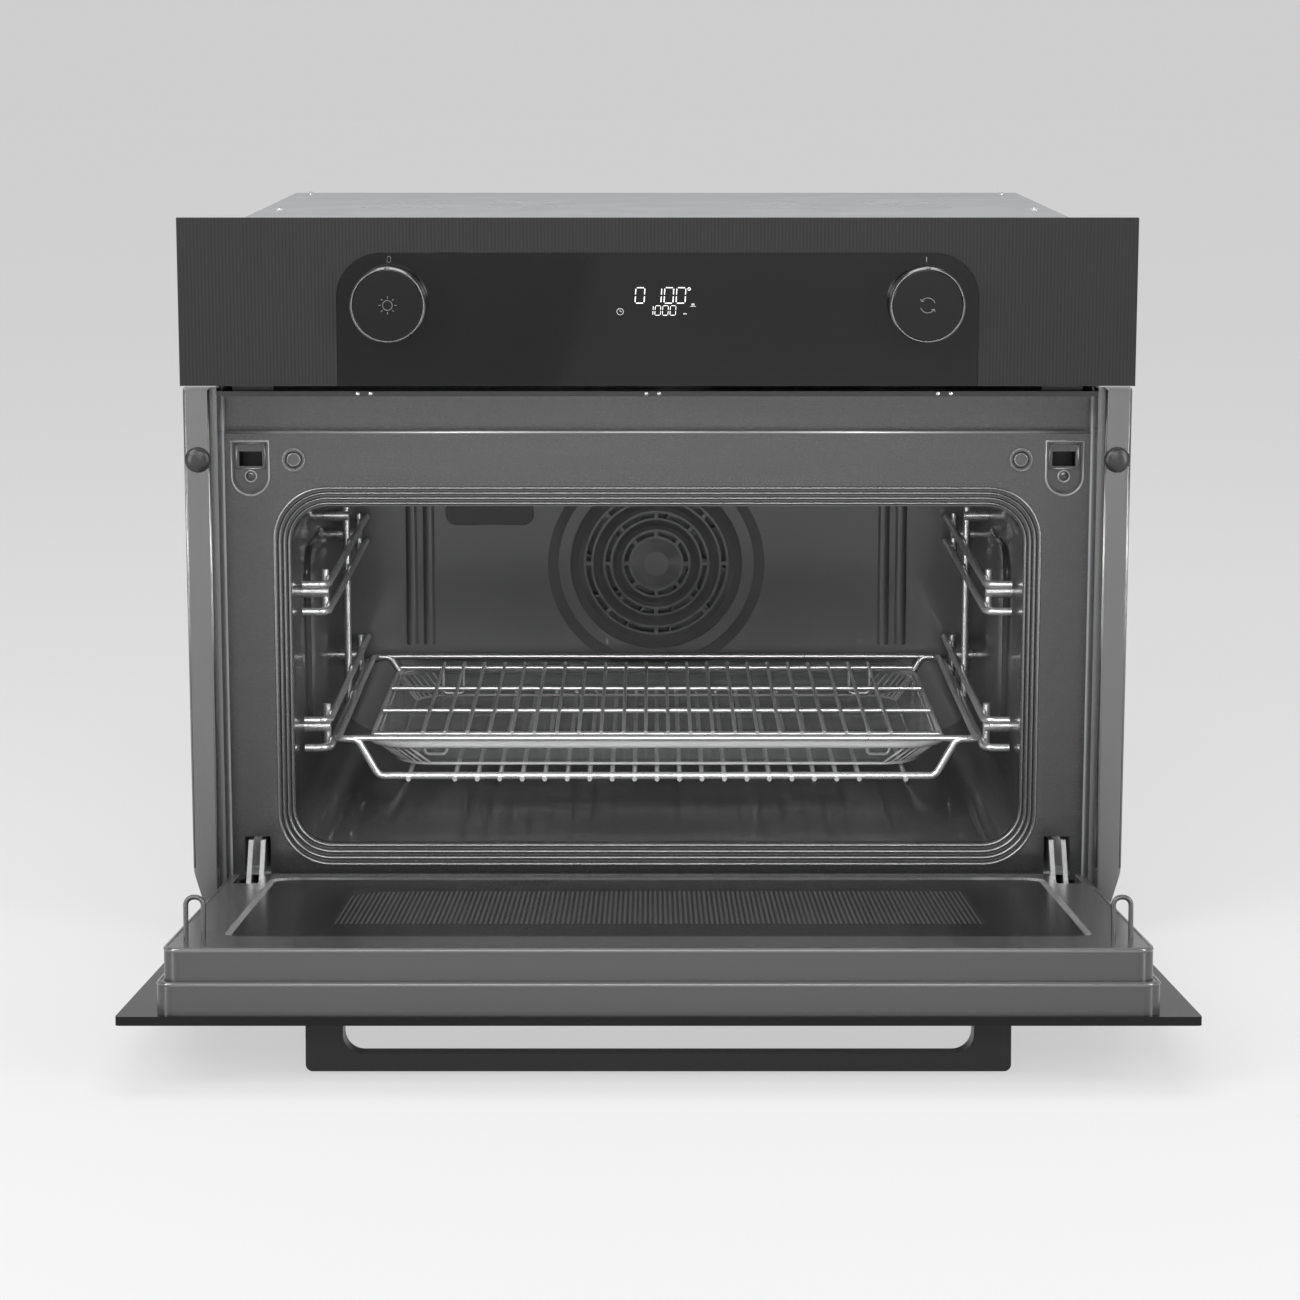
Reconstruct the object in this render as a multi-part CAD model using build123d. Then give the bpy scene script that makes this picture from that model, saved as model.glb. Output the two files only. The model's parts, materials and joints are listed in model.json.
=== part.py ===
"""Built-in compact combination oven with a drop-down door, shown open with its shelf and tray.

Millimetres. X runs to the right, Y into the cabinet, Z up.
The origin is on the underside of the base, on the centre line, in the plane of the cabinet's face.
"""
import os
from math import cos, pi, radians, sin, sqrt

from build123d import *

# Overall front and body
FRONT_OVERLAP = 20.5
FRONT_Y = -22.0
FASCIA_H = 104.5
SIDE_MARGIN = 42.0
BODY_DROP = 10.0
BACK_SPACE = 122.0
SHEET = 1.2
PANEL_GAP = 4.0
FIT = 0.3
RUNNING = 0.05

# Front frame and cooking space
FRAME_Y = 21.0
FRAME_T = 1.5
FRAME_BOTTOM = 24.0
FRAME_HEAD = 49.0
FRAME_BAND = 26.0
FRAME_GAP = 7.5
FRAME_STEP = 9.0
MOUTH_W = 472.0
MOUTH_BOTTOM = 47.0
MOUTH_TOP = 269.0
MOUTH_R = 24.0
RIDGES = 4
RIDGE_X = 2.8
RIDGE_Z = 3.6
RIDGE_Y = 2.5
CAVITY_BACK = 404.0
ENAMEL_T = 1.2

# Fan in the back wall
FAN_DROP = 95.0
DISH_R = 81.5
DISH_DEPTH = 4.0
COVER_R = 64.5
COVER_SLOT_RADII = (22.5, 36.5, 51.0)
COVER_SLOT_W = 3.6
COVER_BRIDGES = 4
COVER_SPOKE = 3.0
COVER_HUB_R = 9.0
COVER_CRESTS = (29.5, 43.5, 58.5)
COVER_WAVE = 2.0
CHAMBER_R = 89.0
CHAMBER_DEPTH = 36.0
WHEEL_R = 62.0
WHEEL_BLADES = 10
WHEEL_W = 18.0
FAN_SHAFT_R = 4.0
MOTOR_R = 38.0
MOTOR_L = 42.0

# Back wall ribs and lamp
RIB_X = (171.0, 184.0)
RIB_R = 4.5
RIB_L = 148.0
RIB_PROUD = 3.0
RIB_DROP = 8.0
LAMP_X = -125.0
LAMP_DROP = 44.0
LAMP_W = 66.0
LAMP_H = 42.0
LAMP_DEPTH = 34.0

# Door, drawn closed and then swung open about its hinge
DOOR_BOTTOM = 2.0
DOOR_GLASS_T = 5.0
LINER_T = 36.5
LINER_INSET = 1.0
LINER_STEP_Y = 18.0
LINER_STEP = 3.5
LINER_EDGE = 4.5
LINER_R = 10.0
LINER_WALL = 1.2
PIVOT_Y = -10.0
PIVOT_Z = 6.0
DOOR_OPEN_ANGLE = 83.5
WINDOW_MARGIN = 31.0
WINDOW_BOTTOM = 30.0
WINDOW_HEAD = 55.5
WINDOW_R = 15.0
WINDOW_LAP = 6.0
PANE_T = 4.0
RAIL_W = 14.0
SCREEN_MARGIN = 56.0
SCREEN_FOOT = 60.0
SCREEN_HEAD = 57.0
SCREEN_T = 0.8
HANDLE_W = 396.0
HANDLE_OUT = 33.0
HANDLE_BAR = 10.0
HANDLE_POST = 21.0
HANDLE_H = 17.0
HANDLE_DROP = 51.5
HANDLE_R = 11.0

# Door hinges and latches
HINGE_OFFSET = 24.5
HINGE_SLOT_W = 17.0
HINGE_SLOT_TOP = 53.0
ARM_T = 3.0
ARM_GAP = 5.0
PIN_R = 2.5
EYE_R = 5.0
CASSETTE_H = 110.0
LATCH_OFFSET = 24.5
LATCH_DROP = 18.0
LATCH_POCKET_W = 24.0
LATCH_POCKET_H = 35.0
LATCH_POCKET_DEPTH = 6.0
LATCH_SLOT_W = 14.8
LATCH_SLOT_H = 9.5
LOOP_W = 12.6
LOOP_WIRE = 1.4
LOOP_OUT = 24.5
LOOP_DROP = 1.5
BUFFER_INSET = 3.5
BUFFER_DROP = 18.0
BUFFER_R = 7.5
BUFFER_PROUD = 1.2
BUFFER_PEG_R = 3.0

# Side trims and cabinet fixings
TRIM_GAP = 3.5
TRIM_W = 16.5
TRIM_T = 13.0
TRIM_BOTTOM = 17.0
TRIM_TAPER_Z = 38.0
TRIM_TAPER_X = 6.0
FIXING_IN = 8.0
FIXING_DROP = 47.5
SCREW_HOLE_R = 2.75
BUSH_R = 5.0
BUSH_FLANGE_R = 7.0
BUSH_FLANGE_T = 1.0
CAP_R = 8.2
CAP_RISE = 3.5
CAP_STEPS = 6
CAP_WALL = 1.6
CAP_HOLLOW = 1.5

# Control panel
FASCIA_T = 4.0
INSET_W = 400.0
INSET_DROP = 21.5
INSET_R = 28.0
CARRIER_SIDE = 4.5
CARRIER_EDGE = 3.0
CARRIER_WALL = 2.0
KNOB_X = 167.0
KNOB_DROP = 53.0
KNOB_R = 23.5
KNOB_RING_T = 1.4
KNOB_DEPTH = 14.0
KNOB_LIFT = 2.2
SHAFT_R = 3.0
ENCODER_SIZE = 14.0
DISPLAY_W = 90.0
DISPLAY_H = 44.0

# Racks, shelf, tray and insert
WIRE_R = 2.5
RACK_OFF = 19.0
RACK_FRONT = 72.0
RACK_END = 8.0
LOWER_GUIDE_RISE = (54.5, 73.0)
UPPER_GUIDE_DROP = (76.0, 58.0)
RACK_POST_Y = 268.0
RACK_TIES_IN = (28.0, 24.0)
RACK_POST_OFF = 4.0
RACK_DROP = 33.0
STUD_R = 4.0
STUD_SINK = 2.0
RACK_BEND = 8.0
RACK_TAIL = 6.0
SHELF_WIRE_R = 2.4
SHELF_INBOARD = 4.0
SHELF_FRONT = 85.0
SHELF_END = 9.0
SHELF_DIP = 25.0
SHELF_LEDGE = 13.0
SHELF_SLOPE = 14.0
SHELF_BEND = 7.0
RUNG_R = 1.6
WELD = 0.7
RUNG_PITCH = 15.0
RUNGS_EACH_SIDE = 9
OUTER_RUNG_IN = 20.0
RUNG_TAIL = 3.5
STOP_R = 2.0
STOP_LAP = 4.0
STOP_RISE = 0.6
TRAY_SPREAD = 7.0
TRAY_END = 16.0
TRAY_H = 20.0
TRAY_T = 4.0
TRAY_TAPER = 16.0
TRAY_R = 26.0
INSERT_MARGIN = 35.0
INSERT_END = 14.0
INSERT_WIRE_R = 1.2
INSERT_FRAME_R = 1.8
INSERT_WIRES = 22
INSERT_CROSS = 4
INSERT_REACH = 2.0
FOOT_END = 28.0
FOOT_WIRE_R = 1.1
FOOT_BEND = 3.0

# Works above the cavity
INSULATION_T = 15.0
DECK_T = 1.2
BLOWER_R = 28.0
BLOWER_L = 180.0
BLOWER_X = -110.0
BLOWER_Y = 190.0
BLOWER_BLADES = 18
GLAND_X = 150.0
GLAND_DROP = 116.0
GLAND_R = 9.0

# Values worked out from the sizes above
BODY_W = MOUTH_W + 2 * SIDE_MARGIN
FRONT_W = BODY_W + 2 * FRONT_OVERLAP
HALF = BODY_W / 2
SIDE_IN = HALF - SHEET
FRAME_STEP_Z = MOUTH_TOP + FRAME_HEAD
FRAME_TOP = FRAME_STEP_Z + FRAME_BAND
FASCIA_BOTTOM = FRAME_TOP + FRAME_GAP
FRONT_TOP = FASCIA_BOTTOM + FASCIA_H
BODY_TOP = FRONT_TOP - BODY_DROP
BODY_BACK = CAVITY_BACK + BACK_SPACE
DOOR_TOP = FASCIA_BOTTOM - PANEL_GAP
GLASS_BACK = FRONT_Y + DOOR_GLASS_T
LINER_FACE = GLASS_BACK + LINER_T
FASCIA_BACK = FRONT_Y + FASCIA_T
FAN_Z = MOUTH_TOP - FAN_DROP
RIB_BOTTOM = MOUTH_TOP - RIB_DROP - RIB_L
LAMP_Z = MOUTH_TOP - LAMP_DROP
WINDOW_TOP = DOOR_TOP - WINDOW_HEAD
SCREEN_BOTTOM = WINDOW_BOTTOM + SCREEN_FOOT
SCREEN_TOP = WINDOW_TOP - SCREEN_HEAD
HANDLE_Z = DOOR_TOP - HANDLE_DROP
LATCH_Z = FRAME_STEP_Z - LATCH_DROP
BUFFER_Z = FRAME_STEP_Z - BUFFER_DROP
FIXING_Z = FASCIA_BOTTOM - FIXING_DROP
INSET_TOP = FRONT_TOP - INSET_DROP
KNOB_Z = FRONT_TOP - KNOB_DROP
GLAND_Z = BODY_TOP - GLAND_DROP
MOUTH_H = MOUTH_TOP - MOUTH_BOTTOM
MOUTH_Z = (MOUTH_TOP + MOUTH_BOTTOM) / 2
CAVITY_FRONT = FRAME_Y + RIDGES * RIDGE_Y + FRAME_T
DECK_Z = MOUTH_TOP + ENAMEL_T + INSULATION_T + 2 * FIT
DECK_TOP = DECK_Z + DECK_T
WALL_X = MOUTH_W / 2
HINGE_X = WALL_X + HINGE_OFFSET
LATCH_X = WALL_X + LATCH_OFFSET
BUFFER_X = WALL_X - BUFFER_INSET
TRIM_IN = HALF + TRIM_GAP
TRIM_OUT = TRIM_IN + TRIM_W
FIXING_X = TRIM_IN + FIXING_IN
CARRIER_W = FRONT_W - 2 * CARRIER_SIDE
LINER_W = BODY_W - 2 * LINER_INSET
WINDOW_W = LINER_W - 2 * WINDOW_MARGIN
SCREEN_W = WINDOW_W - 2 * SCREEN_MARGIN
RACK_X = WALL_X - RACK_OFF
RACK_BACK = CAVITY_BACK - RACK_END
RACK_TIES_Y = (RACK_FRONT + RACK_TIES_IN[0], RACK_BACK - RACK_TIES_IN[1])
RACK_TOP = MOUTH_TOP - RACK_DROP
LOWER_GUIDES = tuple(MOUTH_BOTTOM + rise for rise in LOWER_GUIDE_RISE)
UPPER_GUIDES = tuple(MOUTH_TOP - drop for drop in UPPER_GUIDE_DROP)
RACK_POST_X = RACK_X + RACK_POST_OFF
SHELF_SIDE_X = RACK_X - SHELF_INBOARD
SHELF_RAISED_X = SHELF_SIDE_X - SHELF_LEDGE
SHELF_FLAT_X = SHELF_RAISED_X - SHELF_SLOPE
SHELF_DEPTH = CAVITY_BACK - SHELF_END - SHELF_FRONT
OUTER_RUNG_X = SHELF_FLAT_X - OUTER_RUNG_IN
TRAY_W = 2 * (SHELF_FLAT_X + TRAY_SPREAD)
TRAY_D = SHELF_DEPTH - 2 * TRAY_END
INSERT_W = TRAY_W - 2 * INSERT_MARGIN
INSERT_D = TRAY_D - 2 * INSERT_END
SHELF_REACH = WIRE_R + SHELF_WIRE_R + FIT
SHELF_Z = LOWER_GUIDES[0] + sqrt(SHELF_REACH**2 - (RACK_X - SHELF_SIDE_X) ** 2)
SHELF_LOW = SHELF_Z - SHELF_DIP
SHELF_BACK = SHELF_FRONT + SHELF_DEPTH
RUNG_Z = SHELF_LOW - SHELF_WIRE_R + WELD
TRAY_Z = RUNG_Z + RUNG_R + FIT
TRAY_Y = (SHELF_FRONT + SHELF_BACK) / 2
SIDES = (-1, 1)


def block(x0, x1, y0, y1, z0, z1):
    """A box between two corners."""
    centre = Pos((x0 + x1) / 2, (y0 + y1) / 2, (z0 + z1) / 2)
    return centre * Box(abs(x1 - x0), abs(y1 - y0), abs(z1 - z0))


def slab(outline, y0, y1):
    """An outline drawn in X and Z, made solid from y0 back to y1."""
    return extrude(Plane((0, y0, 0), (1, 0, 0), (0, -1, 0)) * outline, amount=y0 - y1)


def side_slab(outline, x0, x1):
    """An outline drawn in Y and Z, made solid from x0 to x1."""
    return extrude(Plane((x0, 0, 0), (0, 1, 0), (1, 0, 0)) * outline, amount=x1 - x0)


def rounded(width, height, radius, x=0.0, z=0.0):
    """A rounded rectangle centred at x and z."""
    return Pos(x, z) * RectangleRounded(width, height, radius)


def rod_x(radius, x0, x1, y, z):
    return Pos((x0 + x1) / 2, y, z) * Rot(0, 90, 0) * Cylinder(radius, abs(x1 - x0))


def rod_y(radius, x, y0, y1, z):
    return Pos(x, (y0 + y1) / 2, z) * Rot(90, 0, 0) * Cylinder(radius, abs(y1 - y0))


def rod_z(radius, x, y, z0, z1):
    return Pos(x, y, (z0 + z1) / 2) * Cylinder(radius, abs(z1 - z0))


def wire(points, radius, bend, closed=False):
    """A round wire along straight runs with rounded corners."""
    path = FilletPolyline(*points, radius=bend, close=closed)
    return sweep(Plane(path @ 0, z_dir=path % 0) * Circle(radius), path=path)


def swing(part):
    """Carry a closed-door piece to the open position."""
    return Pos(0, PIVOT_Y, PIVOT_Z) * Rot(DOOR_OPEN_ANGLE, 0, 0) * Pos(0, -PIVOT_Y, -PIVOT_Z) * part


def pair(make):
    """The left and right copies of a piece made by a function of the side."""
    return Compound(children=[make(side) for side in SIDES])


def slots(x, z0, count, pitch, length, width, y0, y1):
    """A column of level slots cut along Y."""
    return [slab(Pos(x, z0 + i * pitch) * SlotOverall(length, width), y0, y1) for i in range(count)]


# Body shell
BASE_LIP = 3.0
PANEL_FRONT = FRAME_Y
UPPER_FRONT = 0.0
VENT_SLOT_L = 60.0
VENT_SLOT_W = 5.0
VENT_PITCH = 11.0
VENT_ROWS = 6
PAN_RIBS_X = (-150.0, 0.0, 150.0)
PAN_RIB_W = 24.0
PAN_RIB_H = 2.5
PAN_RIB_END = 70.0
SIDE_VENT_L = 40.0
SIDE_VENT_Y = 380.0
SIDE_VENT_DROP = 51.0
BACK_VENTS_X = (-170.0, 170.0)
BACK_VENTS_Z = 90.0
UPPER_VENTS_DROP = 76.0
UPPER_VENT_ROWS = 4
TOP_VENTS_X = (-180.0, -90.0, 90.0, 180.0)
TOP_VENTS_Y = 300.0
TOP_VENT_PITCH = 40.0
TOP_VENT_ROWS = 3
PANEL_HEM = 2.0
PANEL_BAND = 13.0
PANEL_SIDE = 57.0
FLANGE = 20.0
POCKET_HEAD = 12.0
SLIT = 2.5
BRIDGE_T = 4.0
WEB_L = 60.0
TRIM_R = 2.0


def base_pan():
    floor = block(-HALF, HALF, -BASE_LIP, BODY_BACK, 0, SHEET)
    half = PAN_RIB_W / 2
    ribs = [
        block(x - half, x + half, PAN_RIB_END, BODY_BACK - PAN_RIB_END, SHEET, SHEET + PAN_RIB_H)
        for x in PAN_RIBS_X
    ]
    return floor + ribs


def side_panel(side):
    outline = Polyline(
        (PANEL_FRONT, SHEET),
        (BODY_BACK, SHEET),
        (BODY_BACK, BODY_TOP - SHEET),
        (UPPER_FRONT, BODY_TOP - SHEET),
        (UPPER_FRONT, FRAME_TOP + PANEL_GAP),
        (PANEL_FRONT, FRAME_TOP + PANEL_GAP),
        close=True,
    )
    plate = side_slab(make_face(outline), SIDE_IN, HALF)
    vents = []
    for i in range(VENT_ROWS):
        spot = Pos(SIDE_VENT_Y + i * VENT_PITCH * 2, BODY_TOP - SIDE_VENT_DROP) * Rot(0, 0, 90)
        vents.append(side_slab(spot * SlotOverall(SIDE_VENT_L, VENT_SLOT_W), SIDE_IN, HALF))
    plate -= vents
    return plate if side > 0 else mirror(plate, Plane.YZ)


def back_cover():
    inner = BODY_BACK - SHEET
    plate = block(-SIDE_IN, SIDE_IN, inner, BODY_BACK, SHEET, BODY_TOP - SHEET)
    for x in BACK_VENTS_X:
        plate -= slots(x, BACK_VENTS_Z, VENT_ROWS, VENT_PITCH, VENT_SLOT_L, VENT_SLOT_W, inner, BODY_BACK)
    plate -= slots(0, BODY_TOP - UPPER_VENTS_DROP, UPPER_VENT_ROWS, VENT_PITCH, VENT_SLOT_L, VENT_SLOT_W, inner, BODY_BACK)
    return plate - rod_y(GLAND_R + FIT, GLAND_X, inner, BODY_BACK, GLAND_Z)


def top_cover():
    plate = block(-HALF, HALF, UPPER_FRONT, BODY_BACK, BODY_TOP - SHEET, BODY_TOP)
    for row in range(TOP_VENT_ROWS):
        for x in TOP_VENTS_X:
            spot = Pos(x, TOP_VENTS_Y + row * TOP_VENT_PITCH, BODY_TOP - SHEET / 2)
            plate -= extrude(spot * SlotOverall(VENT_SLOT_L, VENT_SLOT_W), amount=SHEET, both=True)
    return plate


def upper_front_panel():
    """A frame behind the control panel, open in the middle for the wiring."""
    back = UPPER_FRONT + FRAME_T
    low, high = FASCIA_BOTTOM + PANEL_HEM, BODY_TOP - SHEET
    plate = block(-SIDE_IN, SIDE_IN, UPPER_FRONT, back, low, high)
    half = SIDE_IN - PANEL_SIDE
    return plate - block(-half, half, UPPER_FRONT, back, low + PANEL_BAND, high - PANEL_BAND)


def mouth_outline(step):
    """The mouth's outline, counted outwards from the clear opening."""
    return rounded(
        MOUTH_W + 2 * RIDGE_X * step, MOUTH_H + 2 * RIDGE_Z * step, MOUTH_R + RIDGE_X * step, z=MOUTH_Z
    )


POCKET_TURN = LATCH_Z - LATCH_POCKET_H + POCKET_HEAD + LATCH_POCKET_W / 2


def pocket_outline(side, clearance):
    """A latch pocket: square at the top, with a full round at the bottom."""
    half = LATCH_POCKET_W / 2 + clearance
    top = LATCH_Z + POCKET_HEAD + clearance
    turn = POCKET_TURN
    middle = Pos(side * LATCH_X, (top + turn) / 2) * Rectangle(2 * half, top - turn)
    return middle + Pos(side * LATCH_X, turn) * Circle(half)


def front_frame():
    back = FRAME_Y + FRAME_T
    plate = block(-SIDE_IN, SIDE_IN, FRAME_Y, back, FRAME_BOTTOM, FRAME_STEP_Z)
    ledge = block(
        -SIDE_IN, SIDE_IN, FRAME_Y, back + FRAME_STEP, FRAME_STEP_Z - FRAME_T, FRAME_STEP_Z
    )
    upper = block(-SIDE_IN, SIDE_IN, FRAME_Y + FRAME_STEP, back + FRAME_STEP, FRAME_STEP_Z - FRAME_T, FRAME_TOP)
    inset = FRAME_Y + FRAME_STEP
    lip = block(-SIDE_IN, SIDE_IN, inset, inset + FLANGE, FRAME_TOP - FRAME_T, FRAME_TOP)
    sill = block(-SIDE_IN, SIDE_IN, FRAME_Y, FRAME_Y + FLANGE, FRAME_BOTTOM, FRAME_BOTTOM + FRAME_T)
    frame = plate + ledge + upper + lip + sill
    frame -= slab(mouth_outline(RIDGES), FRAME_Y, CAVITY_FRONT)
    for step in range(RIDGES):
        front = FRAME_Y + (RIDGES - 1 - step) * RIDGE_Y
        ring = slab(mouth_outline(step + 1), front, front + RIDGE_Y + FRAME_T)
        frame += ring - slab(mouth_outline(step), front, front + RIDGE_Y + FRAME_T)
    for side in SIDES:
        frame -= slab(pocket_outline(side, FIT), FRAME_Y, back)
        frame -= rod_y(BUFFER_PEG_R + FIT, side * BUFFER_X, FRAME_Y, back, BUFFER_Z)
        half = HINGE_SLOT_W / 2
        x = side * HINGE_X
        frame -= block(x - half, x + half, FRAME_Y, FRAME_Y + FLANGE, FRAME_BOTTOM, HINGE_SLOT_TOP)
    return frame


def side_trim(side):
    top = FASCIA_BOTTOM - SLIT
    outline = Polyline(
        (TRIM_IN, top),
        (TRIM_OUT, top),
        (TRIM_OUT, TRIM_TAPER_Z),
        (TRIM_OUT - TRIM_TAPER_X, TRIM_BOTTOM),
        (TRIM_IN, TRIM_BOTTOM),
        close=True,
    )
    strip = slab(make_face(outline), -TRIM_T, 0)
    strip = fillet(strip.edges().filter_by(Axis.Z).group_by(Axis.Y)[0], TRIM_R)
    bridge = block(HALF, TRIM_IN, -BRIDGE_T, 0, TRIM_BOTTOM, top)
    web = block(HALF, HALF + SHEET, -BRIDGE_T, WEB_L, TRIM_BOTTOM, top)
    trim = strip + bridge + web
    trim -= rod_y(BUSH_R + FIT, FIXING_X, -TRIM_T, 0, FIXING_Z)
    trim -= rod_y(BUSH_FLANGE_R + FIT, FIXING_X, -TRIM_T, BUSH_FLANGE_T - TRIM_T, FIXING_Z)
    return trim if side > 0 else mirror(trim, Plane.YZ)


def fixing_bush(side):
    x = side * FIXING_X
    sleeve = rod_y(BUSH_R, x, -TRIM_T, 0, FIXING_Z)
    flange = rod_y(BUSH_FLANGE_R, x, -TRIM_T, BUSH_FLANGE_T - TRIM_T, FIXING_Z)
    return sleeve + flange - rod_y(SCREW_HOLE_R, x, -TRIM_T, 0, FIXING_Z)


def bush_cap(side):
    """A domed cap turned from short cones, hollow towards the screw."""
    steps = [radians(90 * i / CAP_STEPS) for i in range(CAP_STEPS)]
    crown = [(CAP_R * cos(a), CAP_RISE * sin(a)) for a in steps]
    inner = SCREW_HOLE_R + CAP_HOLLOW
    points = crown + [(0, CAP_RISE), (0, CAP_RISE - CAP_WALL), (inner, CAP_RISE - CAP_WALL), (inner, 0)]
    cap = revolve(Plane.XZ * make_face(Polyline(*points, close=True)), Axis.Z)
    return Pos(side * FIXING_X, -TRIM_T, FIXING_Z) * Rot(90, 0, 0) * cap


PLATE_SCREW_R = 3.2
PLATE_SCREW_H = 1.6
SWITCH_W = 22.0
SWITCH_WALL = 3.0
SWITCH_H = 24.0
SWITCH_ROOF = 4.0
SWITCH_L = 40.0
SWITCH_ROOM = 26.0
BUFFER_RING = 2.2
BUFFER_GROOVE = 1.5
BUFFER_FLOOR = 0.4
BUFFER_PEG_L = 6.0
RECEIVER_WALL = 2.0
RECEIVER_H = 24.0
RECEIVER_L = 48.0
ARM_H = 21.5
ARM_DROP = 2.0
ARM_L = 40.0
ARM_NECK = 3.0
ARM_BRIDGE = 8.0
EYE_SINK = 0.7


def latch_plate(side):
    cup = slab(pocket_outline(side, 0), FRAME_Y, FRAME_Y + LATCH_POCKET_DEPTH)
    cup -= slab(pocket_outline(side, -FRAME_T), FRAME_Y, FRAME_Y + LATCH_POCKET_DEPTH - FRAME_T)
    opening = Pos(side * LATCH_X, LATCH_Z) * Rectangle(LATCH_SLOT_W, LATCH_SLOT_H)
    cup -= slab(opening, FRAME_Y, FRAME_Y + LATCH_POCKET_DEPTH)
    floor = FRAME_Y + LATCH_POCKET_DEPTH - FRAME_T
    return cup + rod_y(PLATE_SCREW_R, side * LATCH_X, floor - PLATE_SCREW_H, floor, POCKET_TURN)


def interlock_switch(side):
    """A switch case behind the latch pocket, with a chamber for the loop."""
    x = side * LATCH_X
    front = FRAME_Y + LATCH_POCKET_DEPTH
    half, room = SWITCH_W / 2, SWITCH_W / 2 - SWITCH_WALL
    case = block(x - half, x + half, front, front + SWITCH_L, LATCH_Z - SWITCH_H / 2, LATCH_Z + SWITCH_H / 2)
    high = SWITCH_H / 2 - SWITCH_ROOF
    return case - block(x - room, x + room, front, front + SWITCH_ROOM, LATCH_Z - high, LATCH_Z + high)


def door_buffer(side):
    x = side * BUFFER_X
    disc = rod_y(BUFFER_R, x, FRAME_Y - BUFFER_PROUD, FRAME_Y, BUFFER_Z)
    groove = BUFFER_R - BUFFER_RING
    disc -= rod_y(groove, x, FRAME_Y - BUFFER_PROUD, FRAME_Y - BUFFER_FLOOR, BUFFER_Z)
    disc += rod_y(groove - BUFFER_GROOVE, x, FRAME_Y - BUFFER_PROUD, FRAME_Y, BUFFER_Z)
    return disc + rod_y(BUFFER_PEG_R, x, FRAME_Y, FRAME_Y + BUFFER_PEG_L, BUFFER_Z)


def hinge_receiver(side):
    """A channel behind the frame that grips the two legs of a hinge arm."""
    x = side * HINGE_X
    half = HINGE_SLOT_W / 2
    wall = RECEIVER_WALL
    front = FRAME_Y + FRAME_T
    low = HINGE_SLOT_TOP - RECEIVER_H
    case = block(x - half - wall, x + half + wall, front, front + RECEIVER_L + wall, low - wall, HINGE_SLOT_TOP + wall)
    return case - block(x - half, x + half, front, front + RECEIVER_L, low, HINGE_SLOT_TOP)


def hinge_arm(side):
    """Two legs with the hinge pin riveted through them, joined by a block inside the receiver."""
    front = FRAME_Y + FRAME_T
    high = HINGE_SLOT_TOP - ARM_DROP
    low = high - ARM_H
    outline = Polyline(
        (PIVOT_Y + ARM_NECK, PIVOT_Z - EYE_R + EYE_SINK),
        (FRAME_Y - FRAME_T / 2, low),
        (front + ARM_L, low),
        (front + ARM_L, high),
        (FRAME_Y - FRAME_T, high),
        (PIVOT_Y - ARM_NECK, PIVOT_Z + EYE_R - EYE_SINK),
        close=True,
    )
    profile = make_face(outline) + Pos(PIVOT_Y, PIVOT_Z) * Circle(EYE_R)
    inner = ARM_GAP / 2
    legs = [side_slab(profile, HINGE_X + inner, HINGE_X + inner + ARM_T)]
    legs.append(side_slab(profile, HINGE_X - inner - ARM_T, HINGE_X - inner))
    bridge = block(HINGE_X - inner, HINGE_X + inner, front + ARM_BRIDGE, front + ARM_L, low, high)
    reach = HINGE_SLOT_W / 2 - FIT
    arm = bridge + legs + rod_x(PIN_R, HINGE_X - reach, HINGE_X + reach, PIVOT_Y, PIVOT_Z)
    return arm if side > 0 else mirror(arm, Plane.YZ)


# Cavity, fan and lamp
PAD_FRONT, PAD_BACK = 127.0, 250.0
PAD_FOOT = 50.0
PAD_HEAD = 42.0
PAD_BOTTOM, PAD_TOP = MOUTH_BOTTOM + PAD_FOOT, MOUTH_TOP - PAD_HEAD
PAD_R = 22.0
PAD_PROUD = 2.5
PAD_BEVEL = 2.0
LAMP_R = 8.0
LAMP_WALL = 3.0
LAMP_FLOOR = 2.0
BULB_R = 8.0
BULB_FRONT = 12.0
LENS_T = 3.2
DISH_BEVEL = 8.0


def cavity_outline(grow):
    return rounded(MOUTH_W + 2 * grow, MOUTH_H + 2 * grow, MOUTH_R + grow, z=MOUTH_Z)


def cavity_liner():
    tube = slab(cavity_outline(ENAMEL_T), CAVITY_FRONT, CAVITY_BACK)
    tube -= slab(cavity_outline(0), CAVITY_FRONT, CAVITY_BACK)
    middle = Pos((PAD_FRONT + PAD_BACK) / 2, (PAD_BOTTOM + PAD_TOP) / 2)
    outline = middle * RectangleRounded(PAD_BACK - PAD_FRONT, PAD_TOP - PAD_BOTTOM, PAD_R)
    pad = side_slab(outline, WALL_X - PAD_PROUD, WALL_X)
    pad = chamfer(pad.faces().sort_by(Axis.X)[0].edges(), PAD_BEVEL)
    return tube + pad + mirror(pad, Plane.YZ)


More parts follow.
